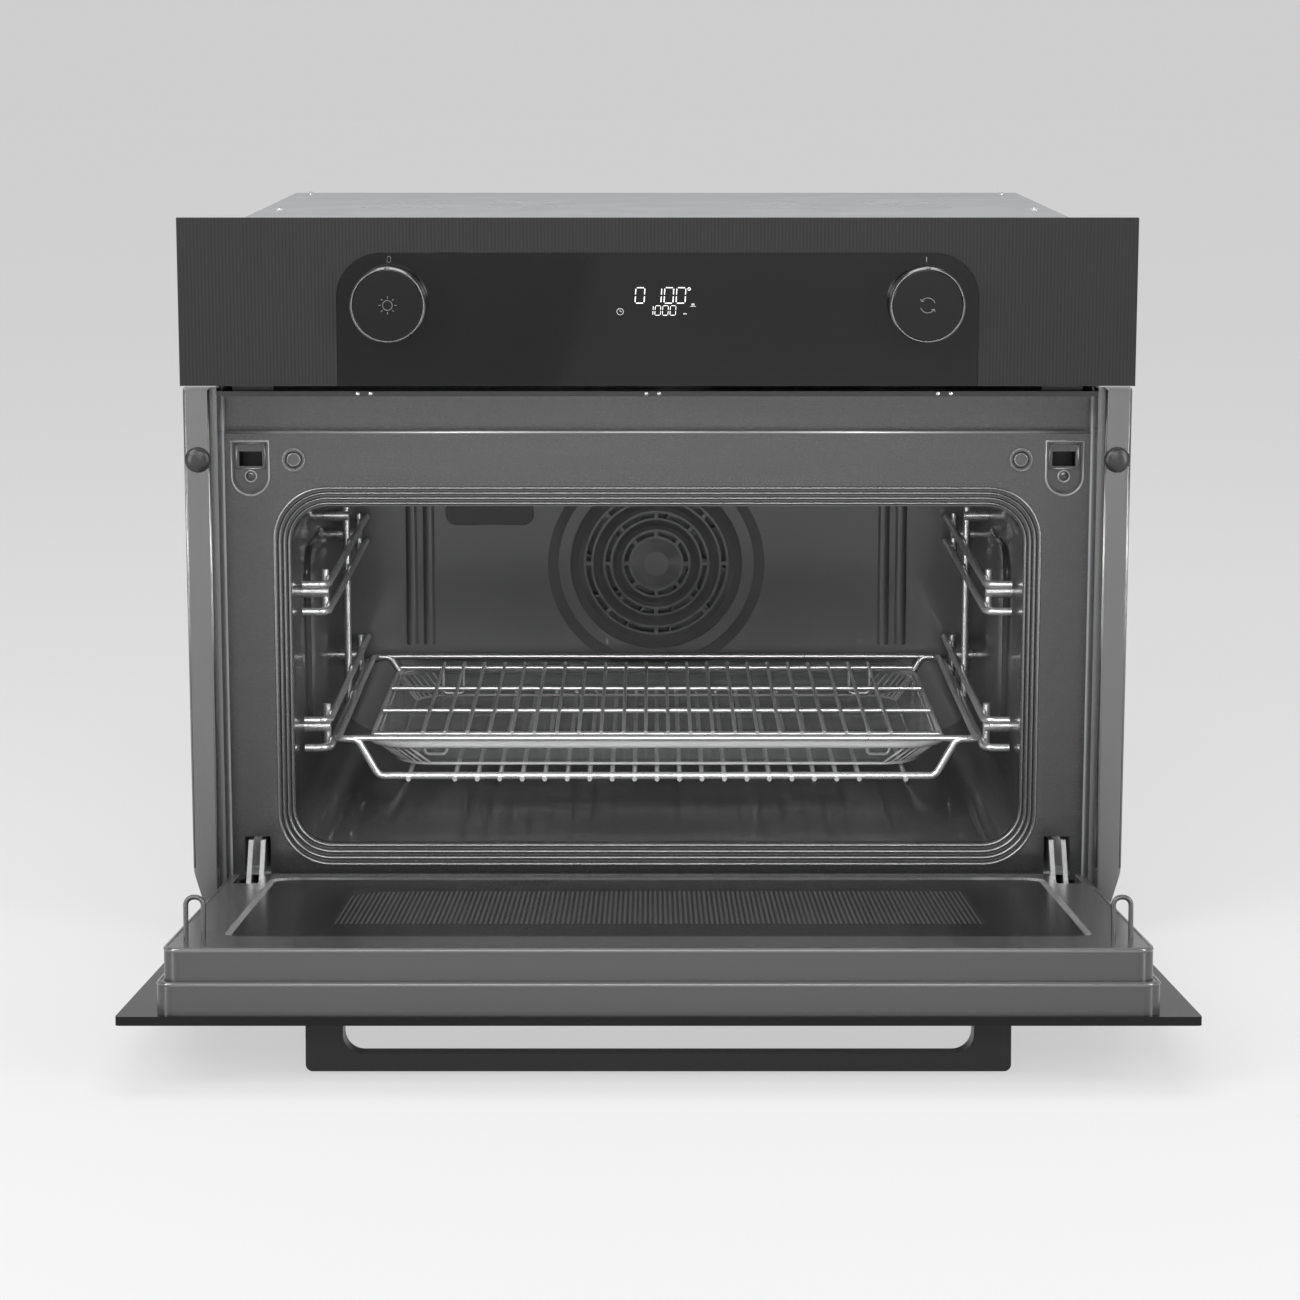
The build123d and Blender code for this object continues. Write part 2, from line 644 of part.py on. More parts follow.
def cavity_back():
    back = CAVITY_BACK + ENAMEL_T
    wall = slab(cavity_outline(ENAMEL_T), CAVITY_BACK, back)
    wall -= rod_y(DISH_R, 0, CAVITY_BACK, back, FAN_Z)
    profile = Polyline(
        (COVER_R + FIT, DISH_DEPTH),
        (DISH_R - DISH_BEVEL, DISH_DEPTH),
        (DISH_R, 0),
        (DISH_R, ENAMEL_T),
        (DISH_R - DISH_BEVEL, DISH_DEPTH + ENAMEL_T),
        (COVER_R + FIT, DISH_DEPTH + ENAMEL_T),
        close=True,
    )
    dish = revolve(Plane.XZ * make_face(profile), Axis.Z)
    wall += Pos(0, CAVITY_BACK, FAN_Z) * Rot(-90, 0, 0) * dish
    for side in SIDES:
        for x in RIB_X:
            rib = rod_z(RIB_R, side * x, CAVITY_BACK + RIB_R - RIB_PROUD, RIB_BOTTOM, MOUTH_TOP - RIB_DROP)
            wall += rib & block(-WALL_X, WALL_X, CAVITY_BACK - RIB_R, back, MOUTH_BOTTOM, MOUTH_TOP)
    return wall - slab(lamp_outline(FIT), CAVITY_BACK, back)


def lamp_outline(grow):
    return rounded(LAMP_W + 2 * grow, LAMP_H + 2 * grow, LAMP_R, LAMP_X, LAMP_Z)


def lamp_housing():
    front = CAVITY_BACK + ENAMEL_T
    cup = slab(lamp_outline(LAMP_WALL), front, front + LAMP_DEPTH)
    cup -= slab(lamp_outline(0), front, front + LAMP_DEPTH - LAMP_FLOOR)
    return cup + rod_y(BULB_R, LAMP_X, front + BULB_FRONT, front + LAMP_DEPTH - LAMP_FLOOR, LAMP_Z)


def lamp_cover():
    return slab(lamp_outline(-FIT), CAVITY_BACK, CAVITY_BACK + LENS_T)


def fan_cover():
    """A disc pressed into rings, with its slots along the valleys."""
    front = CAVITY_BACK + DISH_DEPTH
    peaks = [(COVER_HUB_R, -COVER_WAVE)]
    for radius, crest in zip(COVER_SLOT_RADII, COVER_CRESTS):
        peaks += [(radius - COVER_SLOT_W, 0), (radius + COVER_SLOT_W, 0), (crest, -COVER_WAVE)]
    near = [(0, -COVER_WAVE)] + peaks + [(COVER_R, 0)]
    far = [(r, h + ENAMEL_T) for r, h in reversed(near)]
    disc = revolve(Plane.XZ * make_face(Polyline(*near, *far, close=True)), Axis.Z)
    disc = Pos(0, front, FAN_Z) * Rot(-90, 0, 0) * disc
    spokes = [Rot(0, 0, i * 180 / COVER_BRIDGES) * Rectangle(2 * COVER_R, COVER_SPOKE) for i in range(COVER_BRIDGES)]
    for radius in COVER_SLOT_RADII:
        ring = Circle(radius + COVER_SLOT_W / 2) - Circle(radius - COVER_SLOT_W / 2) - spokes
        disc -= slab(Pos(0, FAN_Z) * ring, front - COVER_WAVE, front + ENAMEL_T)
    return disc


CHAMBER_FRONT = CAVITY_BACK + DISH_DEPTH + ENAMEL_T
CHAMBER_BACK = CHAMBER_FRONT + CHAMBER_DEPTH
CHAMBER_LIP = 1.0
SHAFT_ROOM = 2.0
RING_R = 74.0
RING_TUBE = 3.5
RING_LEAD = 8.0
RING_SET = 14.0
RING_BREAK = 4.0
RING_TAIL = 20.0
MOTOR_STAND = 6.0
MOTOR_LEG_R = 4.0
MOTOR_LEG_CIRCLE = 28.0
MOTOR_LEGS = 4
MOTOR_BORE = 30.0
WHEEL_SET = 5.0
WHEEL_DISC_T = 1.5
WHEEL_HUB_R = 9.0
WHEEL_HUB_SET = 2.0
SHAFT_END = 6.0
BLADE_L = 36.0
BLADE_T = 1.5
BLADE_CIRCLE = 40.0
BLADE_ANGLE = 25.0


def fan_chamber():
    back = CHAMBER_BACK + SHEET
    centre = Pos(0, FAN_Z)
    rim = slab(centre * (Circle(CHAMBER_R) - Circle(DISH_R + CHAMBER_LIP)), CAVITY_BACK + ENAMEL_T, CHAMBER_FRONT)
    wall = slab(centre * (Circle(CHAMBER_R) - Circle(CHAMBER_R - SHEET)), CHAMBER_FRONT, CHAMBER_BACK)
    chamber = rim + wall + rod_y(CHAMBER_R, 0, CHAMBER_BACK, back, FAN_Z)
    chamber -= rod_y(FAN_SHAFT_R + SHAFT_ROOM, 0, CHAMBER_BACK, back, FAN_Z)
    leads = [rod_y(RING_TUBE + FIT, s * RING_LEAD, CHAMBER_BACK, back, FAN_Z + RING_R) for s in SIDES]
    return chamber - leads


def ring_element():
    """A heating tube in a ring, broken at the top, with two leads through the chamber's back."""
    y = CHAMBER_FRONT + RING_SET
    ring = Pos(0, y, FAN_Z) * Rot(90, 0, 0) * Torus(RING_R, RING_TUBE)
    gap = Pos(0, y, FAN_Z + RING_R) * Box(2 * RING_BREAK, 4 * RING_TUBE, 4 * RING_TUBE)
    leads = [rod_y(RING_TUBE, s * RING_LEAD, y, CHAMBER_BACK + RING_TAIL, FAN_Z + RING_R) for s in SIDES]
    return ring - gap + leads


def fan_motor():
    """A motor on four short legs, bored for the fan's shaft."""
    front = CHAMBER_BACK + SHEET
    seat = front + MOTOR_STAND
    body = rod_y(MOTOR_R, 0, seat, seat + MOTOR_L, FAN_Z)
    legs = []
    for i in range(MOTOR_LEGS):
        turn = 2 * pi * (i + 0.5) / MOTOR_LEGS
        x, z = MOTOR_LEG_CIRCLE * cos(turn), MOTOR_LEG_CIRCLE * sin(turn)
        legs.append(rod_y(MOTOR_LEG_R, x, front, seat, FAN_Z + z))
    return body + legs - rod_y(FAN_SHAFT_R + RUNNING, 0, seat, seat + MOTOR_BORE, FAN_Z)


def fan_wheel():
    """A disc with slanted blades, a hub and the shaft that runs into the motor."""
    front = CHAMBER_FRONT + WHEEL_SET
    face = front + WHEEL_W
    disc = rod_y(WHEEL_R, 0, face, face + WHEEL_DISC_T, FAN_Z)
    hub = rod_y(WHEEL_HUB_R, 0, front + WHEEL_HUB_SET, face, FAN_Z)
    tip = CHAMBER_BACK + SHEET + MOTOR_STAND + MOTOR_BORE - SHAFT_END
    shaft = rod_y(FAN_SHAFT_R, 0, face, tip, FAN_Z)
    blade = Pos(BLADE_CIRCLE, 0, -WHEEL_W / 2) * Rot(0, 0, BLADE_ANGLE) * Box(BLADE_L, BLADE_T, WHEEL_W)
    blades = [Rot(0, 0, i * 360 / WHEEL_BLADES) * blade for i in range(WHEEL_BLADES)]
    placed = [Pos(0, face, FAN_Z) * Rot(-90, 0, 0) * b for b in blades]
    return disc + hub + shaft + placed


GRILL_R = 3.2
GRILL_GAP = 0.8
GRILL_Z = MOUTH_TOP - GRILL_GAP - GRILL_R
GRILL_BEND = 14.0
GRILL_RUNS = 6
GRILL_PITCH = 60.0
GRILL_FRONT = 90.0
GRILL_END = 44.0
GRILL_BACK = CAVITY_BACK - GRILL_END


def grill_element():
    """A tube under the ceiling, folded back and forth between two ends at the back wall."""
    runs = [(i - (GRILL_RUNS - 1) / 2) * GRILL_PITCH for i in range(GRILL_RUNS)]
    points = []
    for i, x in enumerate(runs):
        ends = (GRILL_BACK, GRILL_FRONT) if i % 2 == 0 else (GRILL_FRONT, GRILL_BACK)
        points += [(x, y, GRILL_Z) for y in ends]
    points[0] = (runs[0], CAVITY_BACK, GRILL_Z)
    points[-1] = (runs[-1], CAVITY_BACK, GRILL_Z)
    return wire(points, GRILL_R, GRILL_BEND)


WAVE_X0, WAVE_X1 = 40.0, 150.0
WAVE_Y0, WAVE_Y1 = 220.0, 300.0
WAVE_H = 31.0
WAVE_TOP = DECK_TOP + WAVE_H
WRAP_FRONT = 50.0


def wave_hole(z0, z1):
    """The clearance cut for the waveguide."""
    return block(WAVE_X0 - FIT, WAVE_X1 + FIT, WAVE_Y0 - FIT, WAVE_Y1 + FIT, z0, z1)


def insulation_wrap():
    inner = MOUTH_W / 2 + ENAMEL_T + FIT
    outer = inner + INSULATION_T
    low = MOUTH_BOTTOM - ENAMEL_T - FIT
    high = MOUTH_TOP + ENAMEL_T + FIT
    front = FRAME_Y + LATCH_POCKET_DEPTH + WRAP_FRONT
    wrap = block(-outer, outer, front, CAVITY_BACK, low - INSULATION_T, high + INSULATION_T)
    wrap -= block(-inner, inner, front, CAVITY_BACK, low, high)
    return wrap - wave_hole(high, high + INSULATION_T)


# Works on the deck above the cavity
DECK_FRONT = 90.0
MAG_CASE_W = 90.0
MAG_CASE_D = 76.0
MAG_CASE_H = 12.0
MAG_CORE_R = 22.0
MAG_H = 82.0
MAG_FIN_W = 84.0
MAG_FIN_D = 68.0
MAG_FIN_T = 1.2
MAG_FIN_PITCH = 8.0
MAG_FINS = 6
POWER_SIDE = 14.8
POWER_W = 97.0
POWER_Y = 330.0
POWER_D = 140.0
POWER_BASE = 8.0
COIL_X = 20.0
COIL_SIZE = 50.0
COIL_H = 52.0
SINK_EDGE = 10.0
SINK_FINS = 9
SINK_PITCH = 9.0
SINK_T = 4.0
SINK_D = 45.0
SINK_H = 42.0


def component_deck():
    deck = block(-SIDE_IN, SIDE_IN, DECK_FRONT, BODY_BACK - SHEET, DECK_Z, DECK_TOP)
    return deck - wave_hole(DECK_Z, DECK_TOP)


def waveguide():
    return block(WAVE_X0, WAVE_X1, WAVE_Y0, WAVE_Y1, MOUTH_TOP + ENAMEL_T, WAVE_TOP)


def magnetron():
    """A tube with cooling fins between two plates."""
    x = (WAVE_X0 + WAVE_X1) / 2
    y = (WAVE_Y0 + WAVE_Y1) / 2
    top = WAVE_TOP + MAG_H
    plates = [
        Pos(x, y, z) * Box(MAG_CASE_W, MAG_CASE_D, MAG_CASE_H)
        for z in (WAVE_TOP + MAG_CASE_H / 2, top - MAG_CASE_H / 2)
    ]
    core = rod_z(MAG_CORE_R, x, y, WAVE_TOP, top)
    first = WAVE_TOP + MAG_CASE_H + MAG_FIN_PITCH
    fins = [
        Pos(x, y, first + MAG_FIN_PITCH * i) * Box(MAG_FIN_W, MAG_FIN_D, MAG_FIN_T) for i in range(MAG_FINS)
    ]
    return core + plates + fins


def power_inverter():
    """A board with a transformer block and a finned heat sink."""
    x1 = SIDE_IN - POWER_SIDE
    x0 = x1 - POWER_W
    top = DECK_TOP + POWER_BASE
    back = POWER_Y + POWER_D
    board = block(x0, x1, POWER_Y, back, DECK_TOP, top)
    near = POWER_Y + COIL_X
    coil = block(x0 + COIL_X, x0 + COIL_X + COIL_SIZE, near, near + COIL_SIZE, top, top + COIL_H)
    sink = []
    for i in range(SINK_FINS):
        x = x0 + SINK_EDGE + SINK_PITCH * i
        sink.append(block(x, x + SINK_T, back - SINK_EDGE - SINK_D, back - SINK_EDGE, top, top + SINK_H))
    return board + coil + sink


BLOWER_ROOM = 8.0
BLOWER_WALL = 2.0
BLOWER_END = 4.0
BLOWER_D = 80.0
BLOWER_MOTOR_R = 24.0
BLOWER_MOTOR_L = 34.0
BLOWER_BORE = 18.0
BLOWER_DISC_T = 2.0
BLOWER_STUB = 5.5
ROTOR_BLADE_L = 7.0
ROTOR_BLADE_T = 1.0
ROTOR_BLADE_CIRCLE = 24.0
ROTOR_BLADE_ANGLE = 20.0
BLOWER_Z = DECK_TOP + BLOWER_R + BLOWER_ROOM
BLOWER_X0 = BLOWER_X - BLOWER_L / 2
BLOWER_X1 = BLOWER_X + BLOWER_L / 2


def blower_housing():
    """A case round the crossflow rotor, open to the back and to the duct in front, with its motor."""
    x0, x1 = BLOWER_X0 - BLOWER_END, BLOWER_X1 + BLOWER_END
    wall = BLOWER_WALL
    near, far = BLOWER_Y - BLOWER_D / 2, BLOWER_Y + BLOWER_D / 2
    top = BLOWER_Z + BLOWER_R + BLOWER_ROOM
    case = block(x0 - wall, x1 + wall, near, far, DECK_TOP, top)
    case -= block(x0, x1, near, far, DECK_TOP + wall, top - wall)
    case += rod_x(BLOWER_MOTOR_R, x1 + wall, x1 + wall + BLOWER_MOTOR_L, BLOWER_Y, BLOWER_Z)
    return case - rod_x(FAN_SHAFT_R + RUNNING, x0 - wall, x1 + wall + BLOWER_BORE, BLOWER_Y, BLOWER_Z)


def blower_rotor():
    starts = (BLOWER_X0, BLOWER_X - BLOWER_DISC_T / 2, BLOWER_X1 - BLOWER_DISC_T)
    discs = [rod_x(BLOWER_R, x, x + BLOWER_DISC_T, BLOWER_Y, BLOWER_Z) for x in starts]
    shaft = rod_x(FAN_SHAFT_R, BLOWER_X0 - BLOWER_STUB, BLOWER_X1 + BLOWER_BORE, BLOWER_Y, BLOWER_Z)
    blade = Box(BLOWER_L, ROTOR_BLADE_L, ROTOR_BLADE_T)
    blade = Pos(0, ROTOR_BLADE_CIRCLE, 0) * Rot(ROTOR_BLADE_ANGLE, 0, 0) * blade
    turned = [Rot(i * 360 / BLOWER_BLADES, 0, 0) * blade for i in range(BLOWER_BLADES)]
    return shaft + discs + [Pos(BLOWER_X, BLOWER_Y, BLOWER_Z) * b for b in turned]


DUCT_GAP = 2.0
DUCT_LIFT = 4.0
DUCT_H = 56.0
DUCT_NOSE = 20.0
DUCT_SEAT = 3.0
DUCT_MOUTH = 23.0
DUCT_WALL = 1.2
DUCT_SIDE = 20.0


def air_duct():
    """A flat duct that takes the cooling air to the slot below the control panel."""
    front, back = FRAME_Y + FRAME_STEP + FLANGE + DUCT_GAP, BLOWER_Y - BLOWER_D / 2
    low, high = FRAME_TOP + DUCT_SEAT, FRAME_TOP + DUCT_SEAT + DUCT_MOUTH
    outline = Polyline(
        (back, DECK_TOP + DUCT_LIFT),
        (back, DECK_TOP + DUCT_LIFT + DUCT_H),
        (front + DUCT_NOSE, high),
        (front, high),
        (front, low),
        (front + DUCT_NOSE, low),
        close=True,
    )
    face = make_face(outline)
    x0, x1 = DUCT_SIDE - SIDE_IN, 0
    room = side_slab(offset(face, -DUCT_WALL), x0 + DUCT_WALL, x1 - DUCT_WALL)
    return side_slab(face, x0, x1) - room


VENT_FRONT = -12.0
VENT_LIP = 3.2
TAB_W = 26.0
TAB_T = 2.0
TAB_SET = 8.0
TAB_H = 6.0
TAB_IN = 21.8


def vent_deflector():
    """A plate under the air outlet with a turned lip and an upright tab near each end."""
    plate = block(-SIDE_IN, SIDE_IN, VENT_FRONT, FRAME_Y + FRAME_STEP + FLANGE, FRAME_TOP, FRAME_TOP + SHEET)
    turn = block(-SIDE_IN, SIDE_IN, VENT_FRONT, VENT_FRONT + SHEET, FRAME_TOP, FRAME_TOP + VENT_LIP)
    near = VENT_FRONT + TAB_SET
    middle = SIDE_IN - TAB_IN
    tabs = [
        block(s * middle - TAB_W / 2, s * middle + TAB_W / 2, near, near + TAB_T, FRAME_TOP, FRAME_TOP + TAB_H)
        for s in SIDES
    ]
    return plate + turn + tabs


GLAND_FLANGE = 5.0
GLAND_FLANGE_T = 3.0
GLAND_L = 8.0
GLAND_BORE_R = 5.0


def cable_gland():
    near, far = BODY_BACK - GLAND_L, BODY_BACK + GLAND_FLANGE_T
    gland = rod_y(GLAND_R + GLAND_FLANGE, GLAND_X, BODY_BACK, far, GLAND_Z)
    gland += rod_y(GLAND_R, GLAND_X, near, BODY_BACK, GLAND_Z)
    return gland - rod_y(GLAND_BORE_R, GLAND_X, near, far, GLAND_Z)


# Control panel
INSET_FIT = 0.2
SHAFT_HOLE = 2.0
BOARD_W = 400.0
BOARD_H = 60.0
BOARD_T = 1.6
CHIPS_X = (-90.0, -20.0, 60.0)
CHIP_W = 22.0
CHIP_H = 20.0
CHIP_T = 4.0
BOARD_Y = FASCIA_BACK + CARRIER_WALL + ENCODER_SIZE / 2
KNOB_BACK = FRONT_Y - KNOB_LIFT
KNOB_FRONT = KNOB_BACK - KNOB_DEPTH
KNOB_SOCKET = 8.0
SHAFT_SHORT = 2.5
KNOB_BEVEL = 0.8
KNOB_SINK = 0.6
NOTCH_W = 3.0
NOTCH_L = 6.0
NOTCH_D = 8.0


def inset_outline(grow):
    """The glossy field: round at its top corners and square along the bottom edge."""
    width = INSET_W + 2 * grow
    height = INSET_TOP + grow - FASCIA_BOTTOM
    field = rounded(width, 2 * height, INSET_R, z=FASCIA_BOTTOM)
    return field & Pos(0, FASCIA_BOTTOM + height / 2) * Rectangle(width, height)


def fascia_panel():
    plate = block(-FRONT_W / 2, FRONT_W / 2, FRONT_Y, FASCIA_BACK, FASCIA_BOTTOM, FRONT_TOP)
    return plate - slab(inset_outline(0), FRONT_Y, FASCIA_BACK)


def fascia_inset():
    field = slab(inset_outline(-INSET_FIT), FRONT_Y, FASCIA_BACK)
    return field - [rod_y(SHAFT_R + SHAFT_HOLE, s * KNOB_X, FRONT_Y, FASCIA_BACK, KNOB_Z) for s in SIDES]


def fascia_carrier():
    half = CARRIER_W / 2
    low, high = FASCIA_BOTTOM + CARRIER_EDGE, FRONT_TOP - CARRIER_EDGE
    tray = block(-half, half, FASCIA_BACK, UPPER_FRONT, low, high)
    tray -= block(
        -half + CARRIER_WALL,
        half - CARRIER_WALL,
        FASCIA_BACK + CARRIER_WALL,
        UPPER_FRONT,
        low + CARRIER_WALL,
        high - CARRIER_WALL,
    )
    window = Pos(0, KNOB_Z) * Rectangle(DISPLAY_W + 2 * FIT, DISPLAY_H + 2 * FIT)
    tray -= slab(window, FASCIA_BACK, FASCIA_BACK + CARRIER_WALL)
    return tray - [rod_y(SHAFT_R + SHAFT_HOLE, s * KNOB_X, FASCIA_BACK, UPPER_FRONT, KNOB_Z) for s in SIDES]


def control_board():
    back = BOARD_Y + BOARD_T
    board = block(-BOARD_W / 2, BOARD_W / 2, BOARD_Y, back, KNOB_Z - BOARD_H / 2, KNOB_Z + BOARD_H / 2)
    board += [block(x, x + CHIP_W, back, back + CHIP_T, KNOB_Z - CHIP_H, KNOB_Z) for x in CHIPS_X]
    return board - [rod_y(SHAFT_R + SHAFT_HOLE, s * KNOB_X, BOARD_Y, back, KNOB_Z) for s in SIDES]


def display_module():
    return block(
        -DISPLAY_W / 2, DISPLAY_W / 2, FASCIA_BACK, BOARD_Y, KNOB_Z - DISPLAY_H / 2, KNOB_Z + DISPLAY_H / 2
    )


def encoder(side):
    half = ENCODER_SIZE / 2
    x = side * KNOB_X
    case = block(x - half, x + half, FASCIA_BACK + CARRIER_WALL, BOARD_Y, KNOB_Z - half, KNOB_Z + half)
    return case - rod_y(SHAFT_R + RUNNING, x, FASCIA_BACK + CARRIER_WALL, BOARD_Y, KNOB_Z)


def knob_shaft(side):
    return rod_y(SHAFT_R, side * KNOB_X, KNOB_BACK - KNOB_SOCKET, BOARD_Y - SHAFT_SHORT, KNOB_Z)


def knob_ring(side):
    """A thin metal ring with a pointer notch at the top."""
    x = side * KNOB_X
    ring = rod_y(KNOB_R, x, KNOB_FRONT, KNOB_BACK, KNOB_Z)
    ring -= rod_y(KNOB_R - KNOB_RING_T, x, KNOB_FRONT, KNOB_BACK, KNOB_Z)
    ring = chamfer(ring.edges().group_by(Axis.Y)[0].sort_by(SortBy.LENGTH)[-1], KNOB_BEVEL)
    half = NOTCH_W / 2
    top = KNOB_Z + KNOB_R
    return ring - block(x - half, x + half, KNOB_FRONT, KNOB_FRONT + NOTCH_L, top - NOTCH_D, top + NOTCH_D)


def knob_face(side):
    x = side * KNOB_X
    radius = KNOB_R - KNOB_RING_T
    face = rod_y(radius, x, KNOB_FRONT + KNOB_SINK, KNOB_BACK, KNOB_Z)
    face = fillet(face.edges().group_by(Axis.Y)[0], KNOB_BEVEL)
    return face - rod_y(SHAFT_R + RUNNING, x, KNOB_BACK - KNOB_SOCKET - FIT, KNOB_BACK, KNOB_Z)


# Door, drawn closed
DOOR_R = 3.0
ARM_ROOM = 6.0
MID_PANE_SET = 10.0
MID_PANE_Y = GLASS_BACK + MID_PANE_SET
RAIL_BACK = LINER_FACE - LINER_WALL - PANE_T
RAIL_OVER = 2.0
RAIL_GROOVE = 8.0
RAIL_START = 34.0
RAIL_STOP = 3.0
PANE_FIT = 0.2
SCREEN_R = 6.0
GRIP_R = 4.0
LOOP_BEND = 4.5
CASSETTE_SET = 1.5
CASSETTE_WALL = 1.5
CASSETTE_ROOM = 2.0
CASSETTE_PAD = 40.0
SPRING_R = 4.0
SPRING_SET = 0.5


def liner_blocks(inset):
    """The two drawn steps of the liner, with the inset taken off every outer face."""
    low, high = DOOR_BOTTOM + LINER_EDGE, DOOR_TOP - LINER_EDGE
    step_y = GLASS_BACK + LINER_STEP_Y
    middle = (low + high) / 2
    wide = rounded(LINER_W - 2 * inset, high - low - 2 * inset, LINER_R - inset, z=middle)
    slim = rounded(
        LINER_W - 2 * (LINER_STEP + inset),
        high - low - 2 * (LINER_STEP + inset),
        LINER_R - inset,
        z=middle,
    )
    return slab(wide, GLASS_BACK, step_y - inset) + slab(slim, step_y - inset, LINER_FACE - inset)


def window_outline(grow):
    width = WINDOW_W + 2 * grow
    height = WINDOW_TOP - WINDOW_BOTTOM + 2 * grow
    return rounded(width, height, WINDOW_R, z=(WINDOW_TOP + WINDOW_BOTTOM) / 2)


def door_liner():
    shell = liner_blocks(0) - liner_blocks(LINER_WALL)
    shell -= slab(window_outline(0), LINER_FACE - LINER_WALL, LINER_FACE)
    half = HINGE_SLOT_W / 2
    for side in SIDES:
        x = side * HINGE_X
        shell -= block(x - half, x + half, GLASS_BACK, LINER_FACE, DOOR_BOTTOM, HINGE_SLOT_TOP + ARM_ROOM)
    return swing(shell)


def door_outer_glass():
    pane = block(-FRONT_W / 2, FRONT_W / 2, FRONT_Y, GLASS_BACK, DOOR_BOTTOM, DOOR_TOP)
    return swing(fillet(pane.edges().filter_by(Axis.Y), DOOR_R))


def door_inner_glass():
    front = LINER_FACE - LINER_WALL
    return swing(slab(window_outline(WINDOW_LAP), front - PANE_T, front))


def glass_rail(side):
    """A side rail between the panes, grooved for the middle pane."""
    outer = WINDOW_W / 2 + RAIL_OVER
    inner = outer - RAIL_W
    low = WINDOW_BOTTOM + RAIL_START
    rail = block(inner, outer, GLASS_BACK, RAIL_BACK, low, WINDOW_TOP)
    near, far = MID_PANE_Y - PANE_FIT, MID_PANE_Y + PANE_T + PANE_FIT
    rail -= block(inner, inner + RAIL_GROOVE, near, far, low, WINDOW_TOP - RAIL_STOP)
    return swing(rail if side > 0 else mirror(rail, Plane.YZ))


def door_mid_glass():
    half = WINDOW_W / 2 + RAIL_OVER - RAIL_W + RAIL_GROOVE - PANE_FIT
    low, high = WINDOW_BOTTOM + RAIL_START, WINDOW_TOP - RAIL_STOP - PANE_FIT
    return swing(block(-half, half, MID_PANE_Y, MID_PANE_Y + PANE_T, low, high))


def microwave_screen():
    outline = rounded(SCREEN_W, SCREEN_TOP - SCREEN_BOTTOM, SCREEN_R, z=(SCREEN_TOP + SCREEN_BOTTOM) / 2)
    return swing(slab(outline, RAIL_BACK - SCREEN_T, RAIL_BACK))


def door_handle():
    half = HANDLE_W / 2
    outer = Pos(0, FRONT_Y - HANDLE_OUT / 2) * Rectangle(2 * half, HANDLE_OUT)
    outer = fillet(outer.vertices().group_by(Axis.Y)[0], GRIP_R)
    depth = HANDLE_OUT - HANDLE_BAR
    gap = Pos(0, FRONT_Y - depth / 2) * Rectangle(2 * (half - HANDLE_POST), depth)
    gap = fillet(gap.vertices().group_by(Axis.Y)[0], HANDLE_R)
    bar = extrude(Pos(0, 0, HANDLE_Z - HANDLE_H / 2) * (outer - gap), amount=HANDLE_H)
    return swing(bar)


def latch_loop(side):
    x = side * LATCH_X
    leg = LOOP_W / 2 - LOOP_WIRE
    z = LATCH_Z - LOOP_DROP
    tip = LINER_FACE + LOOP_OUT - LOOP_WIRE
    points = [(x - leg, LINER_FACE, z), (x - leg, tip, z), (x + leg, tip, z), (x + leg, LINER_FACE, z)]
    return swing(wire(points, LOOP_WIRE, LOOP_BEND))


def hinge_cassette(side):
    """A channel in the door that turns about the hinge pin."""
    half = HINGE_SLOT_W / 2 - FIT
    room = half - CASSETTE_WALL
    x = side * HINGE_X
    front, back = GLASS_BACK + CASSETTE_SET, PIVOT_Y + EYE_R + CASSETTE_ROOM
    low, top = PIVOT_Z - EYE_R, DOOR_BOTTOM + CASSETTE_H
    channel = block(x - half, x + half, front, back, low, top)
    channel -= block(x - room, x + room, front + SHEET, back, low, top - CASSETTE_WALL)
    channel -= block(x - room, x + room, front, back, low, PIVOT_Z + EYE_R + CASSETTE_ROOM)
    channel += block(x - half, x + half, GLASS_BACK, front, top - CASSETTE_PAD, top)
    return swing(channel - rod_x(PIN_R + RUNNING, x - half, x + half, PIVOT_Y, PIVOT_Z))


def hinge_spring(side):
    """The closed barrel of the balance spring, on the cassette's top web."""
    top = DOOR_BOTTOM + CASSETTE_H - CASSETTE_WALL
    return swing(rod_z(SPRING_R, side * HINGE_X, PIVOT_Y + SPRING_SET, HINGE_SLOT_TOP + ARM_ROOM, top))


# Racks, shelf, tray and insert
def rack(side):
    """Four guide wires with front ends turned to the wall, tied by posts and hung on four studs."""
    parts = []
    for z in LOWER_GUIDES + UPPER_GUIDES:
        points = [
            (side * (WALL_X - WIRE_R), RACK_FRONT, z),
            (side * RACK_X, RACK_FRONT, z),
            (side * RACK_X, RACK_BACK, z),
        ]
        parts.append(wire(points, WIRE_R, RACK_BEND))
    x = side * RACK_POST_X
    parts.append(rod_z(WIRE_R, x, RACK_POST_Y, LOWER_GUIDES[0] - RACK_TAIL, RACK_TOP))
    for y in RACK_TIES_Y:
        for low, high in (LOWER_GUIDES, UPPER_GUIDES):
            parts.append(rod_z(WIRE_R, x, y, low - RACK_TAIL, high + RACK_TAIL))
            stud_z = (low + high) / 2
            parts.append(rod_x(STUD_R, side * WALL_X, x - side * STUD_SINK, y, stud_z))
    parts.append(rod_x(STUD_R, side * WALL_X, x - side * STUD_SINK, RACK_POST_Y, RACK_TOP - RACK_TAIL))
    return parts[0] + parts[1:]


